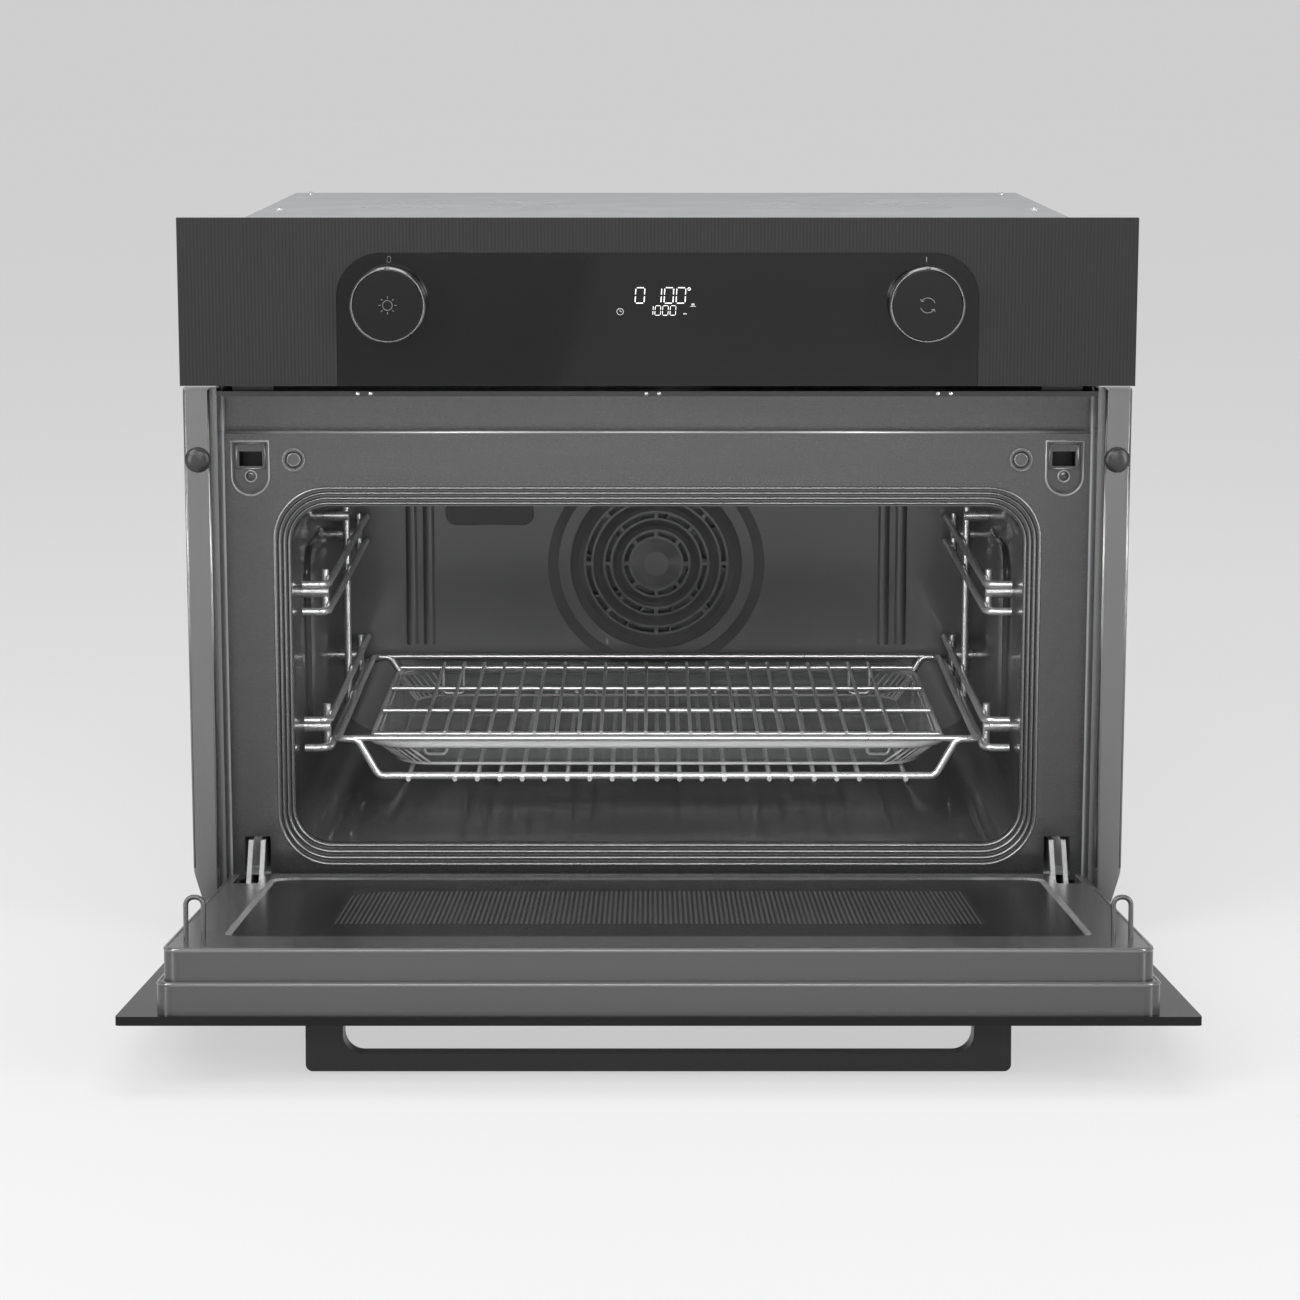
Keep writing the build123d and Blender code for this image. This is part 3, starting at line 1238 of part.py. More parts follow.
def wire_shelf():
    """A bent rim wire with a sunken middle, a straight stop bar at each end and rungs welded under it."""
    raised = SHELF_Z
    low = SHELF_LOW
    dip = (
        (-SHELF_SIDE_X, raised),
        (-SHELF_RAISED_X, raised),
        (-SHELF_FLAT_X, low),
        (SHELF_FLAT_X, low),
        (SHELF_RAISED_X, raised),
        (SHELF_SIDE_X, raised),
    )
    points = [(x, SHELF_FRONT, z) for x, z in dip] + [(x, SHELF_BACK, z) for x, z in reversed(dip)]
    rim = wire(points, SHELF_WIRE_R, SHELF_BEND, closed=True)
    half = SHELF_RAISED_X + STOP_LAP
    stops = [rod_x(STOP_R, -half, half, y, raised + STOP_RISE) for y in (SHELF_FRONT, SHELF_BACK)]
    ends = (SHELF_FRONT - RUNG_TAIL, SHELF_BACK + RUNG_TAIL)
    offsets = [i * RUNG_PITCH for i in range(-RUNGS_EACH_SIDE, RUNGS_EACH_SIDE + 1)]
    offsets += [-OUTER_RUNG_X, OUTER_RUNG_X]
    rungs = [rod_y(RUNG_R, x, ends[0], ends[1], RUNG_Z) for x in offsets]
    return rim + stops + rungs


def glass_tray():
    """A shallow dish with sloping walls and rounded corners."""
    def layer(inset, z):
        return Pos(0, TRAY_Y, z) * RectangleRounded(TRAY_W - 2 * inset, TRAY_D - 2 * inset, TRAY_R)

    top = TRAY_Z + TRAY_H
    outer = loft([layer(TRAY_TAPER, TRAY_Z), layer(0, top)])
    inner = loft([layer(TRAY_TAPER + TRAY_T, TRAY_Z + TRAY_T), layer(TRAY_T, top + 0.01)])
    return outer - inner


CROSS_Z = TRAY_Z + TRAY_H + FIT + INSERT_FRAME_R
INSERT_Z = CROSS_Z + INSERT_FRAME_R + INSERT_WIRE_R - WELD
FOOT_Z = TRAY_Z + TRAY_T + FIT + FOOT_WIRE_R
BAR_TAIL = 6.0


def insert_grid():
    """A trivet of thin wires on cross wires that lie on the tray's rim, with a bent foot in each corner."""
    half = INSERT_W / 2
    y0, y1 = TRAY_Y - INSERT_D / 2, TRAY_Y + INSERT_D / 2
    step = INSERT_D / (INSERT_CROSS - 1)
    reach = TRAY_W / 2 - INSERT_REACH
    cross = [rod_x(INSERT_FRAME_R, -reach, reach, y0 + i * step, CROSS_Z) for i in range(INSERT_CROSS)]
    pitch = INSERT_W / (INSERT_WIRES - 1)
    bars = [
        rod_y(INSERT_WIRE_R, -half + i * pitch, y0 - BAR_TAIL, y1 + BAR_TAIL, INSERT_Z) for i in range(INSERT_WIRES)
    ]
    feet = []
    for y in (TRAY_Y - TRAY_D / 2 + FOOT_END, TRAY_Y + TRAY_D / 2 - FOOT_END):
        for side in SIDES:
            outer, inner = side * half, side * (half - pitch)
            drop = [(outer, y, INSERT_Z), (outer, y, FOOT_Z), (inner, y, FOOT_Z), (inner, y, INSERT_Z)]
            feet.append(wire(drop, FOOT_WIRE_R, FOOT_BEND))
    return cross[0] + cross[1:] + bars + feet


def write(name, part):
    export_step(part, os.path.join("parts", name + ".step"))


SINGLES = (
    base_pan, back_cover, top_cover, upper_front_panel, front_frame, cavity_liner, cavity_back, fan_cover,
    fan_chamber, ring_element, grill_element, fan_motor, fan_wheel, insulation_wrap, lamp_housing, lamp_cover,
    component_deck, waveguide, magnetron, power_inverter, blower_housing, blower_rotor, air_duct,
    vent_deflector, cable_gland, fascia_panel, fascia_inset, fascia_carrier, control_board, display_module,
    door_liner, door_outer_glass, door_inner_glass, door_mid_glass, microwave_screen, door_handle,
    wire_shelf, glass_tray, insert_grid,
)
PAIRS = {
    "side_panels": side_panel,
    "side_trims": side_trim,
    "side_racks": rack,
    "fixing_bushes": fixing_bush,
    "bush_caps": bush_cap,
    "latch_plates": latch_plate,
    "interlock_switches": interlock_switch,
    "door_buffers": door_buffer,
    "hinge_receivers": hinge_receiver,
    "hinge_arms": hinge_arm,
    "encoders": encoder,
    "glass_rails": glass_rail,
    "latch_loops": latch_loop,
    "hinge_cassettes": hinge_cassette,
    "hinge_springs": hinge_spring,
}
HANDED = {
    "knob_shaft": knob_shaft,
    "knob_ring": knob_ring,
    "knob_face": knob_face,
}

os.makedirs("parts", exist_ok=True)
for make in SINGLES:
    write(make.__name__, make())
for name, make in PAIRS.items():
    write(name, pair(make))
for name, make in HANDED.items():
    for label, side in (("left_", -1), ("right_", 1)):
        write(label + name, make(side))
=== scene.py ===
"""Looks of the built-in oven: finishes, printed marks, small fasteners, light and camera. Metres."""
import json
from math import cos, pi, radians, sin

import bmesh
import bpy
from mathutils import Matrix, Vector


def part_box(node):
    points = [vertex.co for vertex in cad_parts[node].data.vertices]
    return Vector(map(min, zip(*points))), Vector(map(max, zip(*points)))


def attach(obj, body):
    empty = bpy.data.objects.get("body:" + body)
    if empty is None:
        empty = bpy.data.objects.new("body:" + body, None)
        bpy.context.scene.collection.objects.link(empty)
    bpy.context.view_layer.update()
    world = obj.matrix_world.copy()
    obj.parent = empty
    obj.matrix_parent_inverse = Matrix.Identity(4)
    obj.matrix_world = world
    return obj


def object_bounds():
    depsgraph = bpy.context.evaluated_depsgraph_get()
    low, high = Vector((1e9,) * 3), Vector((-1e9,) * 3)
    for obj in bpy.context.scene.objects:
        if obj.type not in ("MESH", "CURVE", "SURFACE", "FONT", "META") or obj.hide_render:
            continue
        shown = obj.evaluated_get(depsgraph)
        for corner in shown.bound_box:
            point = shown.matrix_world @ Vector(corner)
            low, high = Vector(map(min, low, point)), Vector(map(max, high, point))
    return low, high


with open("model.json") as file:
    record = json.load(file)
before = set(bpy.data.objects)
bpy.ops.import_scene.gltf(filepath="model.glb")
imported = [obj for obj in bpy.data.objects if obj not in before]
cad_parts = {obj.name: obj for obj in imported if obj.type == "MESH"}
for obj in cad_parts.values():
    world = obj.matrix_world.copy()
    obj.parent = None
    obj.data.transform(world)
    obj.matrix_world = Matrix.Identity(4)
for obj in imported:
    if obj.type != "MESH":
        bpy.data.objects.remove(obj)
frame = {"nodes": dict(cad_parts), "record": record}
cad_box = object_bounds()
scene = bpy.context.scene
scene.view_settings.view_transform = "Standard"

# Sizes of printed and fine detail; shares are of one pitch, near and far lie along the open door
LINE_PITCH = 0.0022
LINE_SHARE = 0.3
SCREEN_PITCH = 0.0030
DOT_R_SHARE = 0.3
SCREEN_HALF = 0.190
SCREEN_NEAR = 0.092
SCREEN_FAR = 0.237
MARK_RAISE = 0.00015

# Door: at rest it stands open, this much short of level
DOOR_LEAN = radians(6.5)
DOOR_PIVOT = Vector(frame["record"]["behaviour"]["joints"][0]["pos_m"])


def shade(level):
    """A neutral grey of one linear level."""
    return (level, level, level, 1.0)


# Materials
def new_material(name):
    """A material with its node tree and its main shader."""
    mat = bpy.data.materials.new(name)
    mat.use_nodes = True
    tree = mat.node_tree
    return mat, tree, tree.nodes["Principled BSDF"]


def add(tree, kind, **values):
    """A shader node with some of its inputs or settings given by name."""
    node = tree.nodes.new("ShaderNode" + kind)
    for key, value in values.items():
        if key in node.inputs:
            node.inputs[key].default_value = value
        else:
            setattr(node, key, value)
    return node


def place(tree, stretch=(1, 1, 1)):
    """Coordinates fixed to the object, stretched along its axes."""
    coords = add(tree, "TexCoord")
    mapping = add(tree, "Mapping", Scale=stretch)
    tree.links.new(coords.outputs["Object"], mapping.inputs["Vector"])
    return mapping.outputs["Vector"]


def noise(tree, vector, scale, detail=2.0):
    """Smooth noise between zero and one."""
    node = add(tree, "TexNoise", Scale=scale, Detail=detail)
    tree.links.new(vector, node.inputs["Vector"])
    return node.outputs["Fac"]


def feed(tree, socket, value):
    """Links an output to an input, or sets the input's own value."""
    if isinstance(value, bpy.types.NodeSocket):
        tree.links.new(value, socket)
    else:
        socket.default_value = value


def calc(tree, operation, first, second):
    """One step of arithmetic on outputs or numbers."""
    node = add(tree, "Math", operation=operation)
    for socket, value in zip(node.inputs, (first, second)):
        feed(tree, socket, value)
    return node.outputs["Value"]


# Places of the colour sockets on a mix node
MIX_FACTOR, MIX_LOW, MIX_HIGH = 0, 6, 7
MIX_RESULT = 2


def blend_colour(tree, factor, low, high):
    """A colour between two outputs or colours, by a factor."""
    node = add(tree, "Mix", data_type="RGBA")
    for index, value in ((MIX_FACTOR, factor), (MIX_LOW, low), (MIX_HIGH, high)):
        feed(tree, node.inputs[index], value)
    return node.outputs[MIX_RESULT]


def spread_over(tree, factor, low, high):
    """A factor from zero to one, mapped to a range."""
    node = add(tree, "MapRange")
    node.inputs["To Min"].default_value = low
    node.inputs["To Max"].default_value = high
    tree.links.new(factor, node.inputs["Value"])
    return node.outputs["Result"]


def bump(tree, bsdf, height, strength, distance):
    """Fine relief from a height."""
    node = add(tree, "Bump", Strength=strength, Distance=distance)
    tree.links.new(height, node.inputs["Height"])
    tree.links.new(node.outputs["Normal"], bsdf.inputs["Normal"])


SLOWER, FINER = 6, 8
FINE_DETAIL = 4.0
LEAST_ROUGH = 0.02


def surface(name, colour, roughness, metallic=0.0, vary=0.12, grain=60.0, rough_vary=0.05,
            bumps=0.05, depth=0.0002, stretch=(1, 1, 1), **settings):
    """A finish with slow colour variation, uneven gloss and a fine surface grain."""
    mat, tree, bsdf = new_material(name)
    vector = place(tree, stretch)
    slow = noise(tree, vector, grain / SLOWER)
    fine = noise(tree, vector, grain * FINER, FINE_DETAIL)
    low = tuple(c * (1 - vary) for c in colour[:3]) + (1.0,)
    high = tuple(min(1.0, c * (1 + vary)) for c in colour[:3]) + (1.0,)
    tree.links.new(blend_colour(tree, slow, low, high), bsdf.inputs["Base Color"])
    rough = spread_over(tree, fine, max(LEAST_ROUGH, roughness - rough_vary), roughness + rough_vary)
    tree.links.new(rough, bsdf.inputs["Roughness"])
    bump(tree, bsdf, fine, bumps, depth)
    bsdf.inputs["Metallic"].default_value = metallic
    for key, value in settings.items():
        bsdf.inputs[key].default_value = value
    return mat


def lined_panel():
    """Matt glass with fine upright lines."""
    mat, tree, bsdf = new_material("fascia_matte")
    vector = place(tree)
    parts = add(tree, "SeparateXYZ")
    tree.links.new(vector, parts.inputs["Vector"])
    cycle = calc(tree, "FRACT", calc(tree, "DIVIDE", parts.outputs["X"], LINE_PITCH), 0)
    line = calc(tree, "LESS_THAN", cycle, LINE_SHARE)
    slow = noise(tree, vector, 4.0)
    base = blend_colour(tree, slow, shade(0.006), shade(0.014))
    tree.links.new(blend_colour(tree, line, base, shade(0.006)), bsdf.inputs["Base Color"])
    tree.links.new(spread_over(tree, line, 0.42, 0.6), bsdf.inputs["Roughness"])
    bump(tree, bsdf, line, 0.15, 0.0001)
    bsdf.inputs["Specular IOR Level"].default_value = 0.35
    return mat


def dotted_pane():
    """Dark door pane with the fine dots of its screen showing in the middle."""
    mat, tree, bsdf = new_material("dark_glass")
    vector = place(tree)
    parts = add(tree, "SeparateXYZ")
    tree.links.new(vector, parts.inputs["Vector"])
    along = calc(
        tree, "SUBTRACT",
        calc(tree, "MULTIPLY", parts.outputs["Z"], sin(DOOR_LEAN)),
        calc(tree, "MULTIPLY", parts.outputs["Y"], cos(DOOR_LEAN)),
    )
    dots = None
    for socket in (parts.outputs["X"], along):
        cycle = calc(tree, "FRACT", calc(tree, "DIVIDE", socket, SCREEN_PITCH), 0)
        wave = calc(tree, "POWER", calc(tree, "SUBTRACT", cycle, 0.5), 2.0)
        dots = wave if dots is None else calc(tree, "ADD", dots, wave)
    dot = calc(tree, "LESS_THAN", dots, DOT_R_SHARE ** 2)
    inside = calc(tree, "LESS_THAN", calc(tree, "ABSOLUTE", parts.outputs["X"], 0), SCREEN_HALF)
    inside = calc(tree, "MULTIPLY", inside, calc(tree, "GREATER_THAN", along, SCREEN_NEAR))
    inside = calc(tree, "MULTIPLY", inside, calc(tree, "LESS_THAN", along, SCREEN_FAR))
    slow = noise(tree, vector, 6.0)
    base = blend_colour(tree, slow, shade(0.010), shade(0.016))
    shown = calc(tree, "MULTIPLY", dot, inside)
    tree.links.new(blend_colour(tree, shown, base, shade(0.085)), bsdf.inputs["Base Color"])
    tree.links.new(spread_over(tree, slow, 0.22, 0.28), bsdf.inputs["Roughness"])
    bsdf.inputs["IOR"].default_value = 1.10
    return mat


def clear_glass():
    """Clear glass, seen as a faint pale film with a hard polished sheen."""
    mat, tree, bsdf = new_material("clear_glass")
    slow = noise(tree, place(tree), 12.0)
    tree.links.new(spread_over(tree, slow, 0.03, 0.07), bsdf.inputs["Roughness"])
    tint = blend_colour(tree, slow, (0.50, 0.53, 0.53, 1), (0.58, 0.60, 0.60, 1))
    tree.links.new(tint, bsdf.inputs["Base Color"])
    tree.links.new(spread_over(tree, slow, 0.10, 0.15), bsdf.inputs["Alpha"])
    bsdf.inputs["Coat Weight"].default_value = 1.0
    bsdf.inputs["Coat IOR"].default_value = 1.8
    return mat


def marking():
    """White print and display light."""
    mat, tree, bsdf = new_material("white_print")
    slow = noise(tree, place(tree), 300.0)
    tree.links.new(blend_colour(tree, slow, shade(0.75), shade(0.85)), bsdf.inputs["Base Color"])
    bsdf.inputs["Roughness"].default_value = 0.5
    bsdf.inputs["Emission Color"].default_value = shade(1.0)
    bsdf.inputs["Emission Strength"].default_value = 0.35
    return mat


ENAMEL = dict(vary=0.10, grain=30.0, rough_vary=0.05, bumps=0.04,
              **{"Coat Weight": 0.5, "Coat Roughness": 0.08})
finishes = {
    "fascia_matte": lined_panel(),
    "fascia_gloss": surface("fascia_gloss", shade(0.004), 0.05, vary=0.2, rough_vary=0.02, bumps=0.01),
    "steel_satin": surface("steel_satin", shade(0.10), 0.27, metallic=0.8, vary=0.06, rough_vary=0.012,
                           bumps=0.006, stretch=(1, 4, 12)),
    "trim_steel": surface("trim_steel", shade(0.20), 0.26, metallic=0.9, vary=0.06, rough_vary=0.012,
                          bumps=0.006, stretch=(12, 4, 1)),
    "zinc_sheet": surface("zinc_sheet", (0.42, 0.43, 0.44, 1), 0.60, metallic=0.45, vary=0.15, grain=120.0,
                          rough_vary=0.12),
    "enamel": surface("enamel", shade(0.050), 0.30, **ENAMEL),
    # Lighter, as the back wall gets less light here than in the photo
    "back_enamel": surface("back_enamel", shade(0.160), 0.30, **ENAMEL),
    "chrome_wire": surface("chrome_wire", shade(0.85), 0.28, metallic=0.8, vary=0.06, grain=90.0,
                           rough_vary=0.02, bumps=0.008),
    "chrome_trim": surface("chrome_trim", shade(0.80), 0.20, metallic=0.9, vary=0.05, grain=90.0),
    "black_plastic": surface("black_plastic", shade(0.014), 0.38, vary=0.2, grain=80.0),
    "black_rubber": surface("black_rubber", shade(0.020), 0.32, vary=0.2, grain=90.0, bumps=0.1),
    "buffer_grey": surface("buffer_grey", shade(0.10), 0.30, metallic=0.6, vary=0.1, grain=90.0),
    "knob_black": surface("knob_black", shade(0.005), 0.07, vary=0.2, grain=90.0, rough_vary=0.02,
                          bumps=0.01),
    "dim_print": surface("dim_print", shade(0.16), 0.5, vary=0.1, grain=200.0),
    "clear_glass": clear_glass(),
    "dark_glass": dotted_pane(),
    "door_glass": surface("door_glass", shade(0.012), 0.16, vary=0.15, rough_vary=0.03, bumps=0.01,
                          IOR=1.12),
    "liner_paint": surface("liner_paint", shade(0.072), 0.26, metallic=0.4, vary=0.04, grain=40.0,
                           rough_vary=0.01, bumps=0.003),
    "handle_black": surface("handle_black", shade(0.010), 0.34, metallic=0.4, vary=0.2, grain=70.0),
    "mineral_wool": surface("mineral_wool", (0.62, 0.58, 0.44, 1), 0.95, vary=0.3, grain=90.0,
                            bumps=0.8, depth=0.002),
    "element_metal": surface("element_metal", (0.12, 0.11, 0.10, 1), 0.5, metallic=0.7, vary=0.25),
    "circuit_board": surface("circuit_board", (0.02, 0.10, 0.05, 1), 0.4, vary=0.25, grain=200.0),
    "copper_iron": surface("copper_iron", (0.20, 0.15, 0.12, 1), 0.45, metallic=0.7, vary=0.3),
    "screen_steel": surface("screen_steel", shade(0.02), 0.5, metallic=0.4),
    "knob_edge": surface("knob_edge", shade(0.20), 0.26, metallic=1.0, vary=0.06, grain=90.0),
    "lamp_glass": surface("lamp_glass", shade(0.030), 0.20, vary=0.15, grain=40.0, bumps=0.01),
    "loop_steel": surface("loop_steel", shade(0.12), 0.30, metallic=0.9, vary=0.05, grain=90.0),
    # Paler liner paint for the beads on the liner's edges: painted highlight
    "painted_liner_highlight": surface("painted_liner_highlight", shade(0.17), 0.22, metallic=0.6, vary=0.04, grain=40.0,
                          bumps=0.008),
    # Pale steel for folds, pocket edges, washers and bracket lips: painted highlight
    "painted_highlight_edge": surface("painted_highlight_edge", shade(0.42), 0.30, metallic=0.7, vary=0.05, grain=90.0,
                           bumps=0.01),
    # Steel paler than the sheet it lies on, for beads: painted highlight
    "painted_highlight_steel": surface("painted_highlight_steel", shade(0.24), 0.25, metallic=0.9, vary=0.05, grain=90.0),
    # Pale matt lines on the glass tray: painted highlight
    "painted_glass_highlight": surface("painted_glass_highlight", shade(0.62), 0.14, vary=0.05, grain=90.0, bumps=0.01),
    "sign_print": surface("sign_print", shade(0.45), 0.5, vary=0.1, grain=200.0),
    "white_print": marking(),
}

# Nodes whose finish differs from that of their slot
FINISH_OF = {
    "cavity_back": "back_enamel",
    "fan_cover": "back_enamel",
    "lamp_cover": "lamp_glass",
    "left_knob_ring": "knob_edge",
    "right_knob_ring": "knob_edge",
    "left_knob_face": "knob_black",
    "right_knob_face": "knob_black",
    "door_buffers": "buffer_grey",
    "latch_loops": "loop_steel",
}
slot_of = {entry["node"]: entry["material_slot"] for entry in frame["record"]["subparts"]}
for node, obj in frame["nodes"].items():
    obj.data.materials.clear()
    obj.data.materials.append(finishes[FINISH_OF.get(node, slot_of[node])])


# Added pieces
def piece(name, mesh, body, slot, finish=None):
    """A new piece that rides on a body and takes a finish."""
    data = bpy.data.meshes.new(name)
    mesh.normal_update()
    mesh.to_mesh(data)
    mesh.free()
    obj = bpy.data.objects.new(name, data)
    scene.collection.objects.link(obj)
    data.materials.append(finishes[finish or slot])
    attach(obj, body)


def front_quad(mesh, corners, y, thickness):
    """A thin raised patch given by corners in X and Z, standing on the plane y."""
    back = [mesh.verts.new((x, y, z)) for x, z in corners]
    near = [mesh.verts.new((x, y - thickness, z)) for x, z in corners]
    count = len(corners)
    mesh.faces.new(near)
    mesh.faces.new(back[::-1])
    for i in range(count):
        j = (i + 1) % count
        mesh.faces.new((back[i], back[j], near[j], near[i]))


def stroke(mesh, start, end, width, y):
    """A straight printed line."""
    a, b = Vector(start), Vector(end)
    side = Vector((-(b - a).y, (b - a).x)).normalized() * width / 2
    front_quad(mesh, [a - side, b - side, b + side, a + side], y, MARK_RAISE)


def arc_mark(mesh, centre, radius, start, end, width, y, steps=24):
    """A printed arc between two angles."""
    inner, outer = radius - width / 2, radius + width / 2
    turns = [radians(start + (end - start) * i / steps) for i in range(steps + 1)]
    for a, b in zip(turns, turns[1:]):
        places = ((inner, a), (outer, a), (outer, b), (inner, b))
        corners = [(centre[0] + r * cos(t), centre[1] + r * sin(t)) for r, t in places]
        front_quad(mesh, corners, y, MARK_RAISE)


# Strokes of each figure, and their ends in widths and half heights of a figure
SEGMENTS = {"0": "abcdef", "1": "bc"}
SEGMENT_ENDS = {
    "a": ((0, 2), (1, 2)), "b": ((1, 2), (1, 1)), "c": ((1, 1), (1, 0)),
    "d": ((1, 0), (0, 0)), "e": ((0, 0), (0, 1)), "f": ((0, 1), (0, 2)),
}
DIGIT_SLANT = 0.06
# Shares of a figure's height, and of its pitch for a space
DIGIT_ASPECT = 0.58
DIGIT_STROKE = 0.065
DIGIT_GAP = 0.03
DIGIT_SPACE = 0.4


def digits(mesh, text, left, low, height, pitch, y):
    """Slanted figures made of strokes with gaps between them. Returns the place after the last."""
    width = height * DIGIT_ASPECT
    thick = height * DIGIT_STROKE
    gap = height * DIGIT_GAP
    x = left
    for letter in text:
        for key in SEGMENTS.get(letter, ""):
            points = []
            for u, v in SEGMENT_ENDS[key]:
                rise = v * height / 2
                points.append(Vector((x + u * width + rise * DIGIT_SLANT, low + rise)))
            along = (points[1] - points[0]).normalized() * (gap + thick / 2)
            stroke(mesh, points[0] + along, points[1] - along, thick, y)
        x += pitch * DIGIT_SPACE if letter == " " else pitch
    return x


# Display, dial marks and knob symbols
PANEL_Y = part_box("fascia_inset")[0].y
DISPLAY_LEFT = -0.0140
DISPLAY_LOW = 0.4032
DIGIT_H = 0.0096
DIGIT_PITCH = 0.0075
SMALL_LEFT = -0.0064
SMALL_LOW = 0.3957
SMALL_H = 0.0059
SMALL_PITCH = 0.0047
DEGREE_R = 0.0008
DEGREE_GAP = 0.0006
SIGN_LINE = 0.0004
CLOCK = (-0.0233, 0.3979)
CLOCK_R = 0.0020
CLOCK_HANDS = ((0, 0.0013), (0.0009, 0))
# Bars of the other two signs: left end, right end, height and thickness
SIGN_BARS = (
    (0.0160, 0.0182, 0.3966, 0.0008),
    (0.0203, 0.0238, 0.4012, SIGN_LINE),
    (0.0211, 0.0230, 0.4024, 0.0012),
)
MARK_Z = 0.4302
MARK_H = 0.0036
MARK_SHIFT = 0.0010
TICK_HALF = 0.0016
TICK_LINE = 0.0006
SUN_R = 0.0030
SUN_LINE = 0.00035
SUN_RAYS = 8
RAY_ENDS = (0.0042, 0.0056)
ARROW_R = 0.0046
ARROW_LINE = 0.0004
ARROW_STARTS = (20, 200)
ARROW_SWEEP = 130
BARB_L = 0.0018
BARB_TURNS = (-2.4, -0.7)


def display():
    """Two lines of lit figures and three dim signs beside them."""
    mesh = bmesh.new()
    end = digits(mesh, "0 100", DISPLAY_LEFT, DISPLAY_LOW, DIGIT_H, DIGIT_PITCH, PANEL_Y)
    degree = (end + DEGREE_GAP, DISPLAY_LOW + DIGIT_H - DEGREE_R)
    arc_mark(mesh, degree, DEGREE_R, 0, 360, SIGN_LINE, PANEL_Y)
    digits(mesh, "1000", SMALL_LEFT, SMALL_LOW, SMALL_H, SMALL_PITCH, PANEL_Y)
    piece("display_figures", mesh, "root", "fascia_gloss", "white_print")
    mesh = bmesh.new()
    arc_mark(mesh, CLOCK, CLOCK_R, 0, 360, SIGN_LINE, PANEL_Y)
    for x, z in CLOCK_HANDS:
        stroke(mesh, CLOCK, (CLOCK[0] + x, CLOCK[1] + z), SIGN_LINE, PANEL_Y)
    for left, right, z, thick in SIGN_BARS:
        stroke(mesh, (left, z), (right, z), thick, PANEL_Y)
    piece("display_signs", mesh, "root", "fascia_gloss", "sign_print")


def knob_face(node):
    """X and Z of the middle of a knob's face, and the Y of its front."""
    low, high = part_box(node)
    return (low.x + high.x) / 2, (low.z + high.z) / 2, low.y


def dial_marks():
    """A nought above the left knob and a tick above the right one."""
    mesh = bmesh.new()
    x = knob_face("left_knob_face")[0]
    digits(mesh, "0", x - MARK_SHIFT, MARK_Z - MARK_H / 2, MARK_H, MARK_H, PANEL_Y)
    x = knob_face("right_knob_face")[0]
    stroke(mesh, (x, MARK_Z - TICK_HALF), (x, MARK_Z + TICK_HALF), TICK_LINE, PANEL_Y)
    piece("dial_marks", mesh, "root", "fascia_gloss", "dim_print")


def knob_symbols():
    """A sun on the left knob and two turning arrows on the right one."""
    x, z, y = knob_face("left_knob_face")
    centre = Vector((x, z))
    mesh = bmesh.new()
    arc_mark(mesh, centre, SUN_R, 0, 360, SUN_LINE, y)
    for i in range(SUN_RAYS):
        turn = 2 * pi * i / SUN_RAYS
        way = Vector((cos(turn), sin(turn)))
        stroke(mesh, centre + way * RAY_ENDS[0], centre + way * RAY_ENDS[1], SUN_LINE, y)
    piece("left_knob_symbol", mesh, "left_knob", "black_plastic", "dim_print")
    x, z, y = knob_face("right_knob_face")
    centre = Vector((x, z))
    mesh = bmesh.new()
    for start in ARROW_STARTS:
        end = start + ARROW_SWEEP
        arc_mark(mesh, centre, ARROW_R, start, end, ARROW_LINE, y)
        tip = radians(end)
        head = centre + Vector((cos(tip), sin(tip))) * ARROW_R
        for turn in BARB_TURNS:
            way = Vector((cos(tip + turn), sin(tip + turn)))
            stroke(mesh, head, head + way * BARB_L, ARROW_LINE, y)
    piece("right_knob_symbol", mesh, "right_knob", "black_plastic", "dim_print")


# Screw heads: radius and height of each ring, and of the slot's floor, as shares of the head's own
HEAD_POINTS = 16
HEAD_LEVELS = ((1.0, 0.0), (1.0, 0.45), (0.82, 0.8), (0.5, 1.0))
SLOT_WIDE = 0.42
SLOT_NARROW = 0.16
SLOT_FLOOR = 0.45
HEAD_TO_FRONT = Matrix.Rotation(pi / 2, 4, "X")


def screw_head(mesh, place_at, radius, height):
    """A low domed head with a cross slot sunk into its crown."""
    def ring(shares, rise):
        """One ring of points at shares of the head's radius and height."""
        points = []
        for i, share in enumerate(shares):
            turn = 2 * pi * i / HEAD_POINTS
            spot = Vector((radius * share * cos(turn), radius * share * sin(turn), height * rise))
            points.append(mesh.verts.new(place_at @ spot))
        return points

    loops = [ring([share] * HEAD_POINTS, rise) for share, rise in HEAD_LEVELS]
    loops.append(ring([SLOT_WIDE if i % 4 else SLOT_NARROW for i in range(HEAD_POINTS)], SLOT_FLOOR))
    for a, b in zip(loops, loops[1:]):
        for i in range(HEAD_POINTS):
            j = (i + 1) % HEAD_POINTS
            mesh.faces.new((a[i], a[j], b[j], b[i]))
    mesh.faces.new(loops[-1])
    mesh.faces.new(loops[0][::-1])


SCREW_R = 0.0038
SCREW_H = 0.0018
BACK_INSET = 0.012
BACK_SCREWS_X = (-0.09, 0.09)
TOP_INSET = 0.014
TOP_SCREWS_Y = (0.06, 0.26, 0.50)
SIDE_SCREWS_Y = (0.10, 0.30, 0.51)
SIDE_SCREWS_Z = (0.012, 0.425)


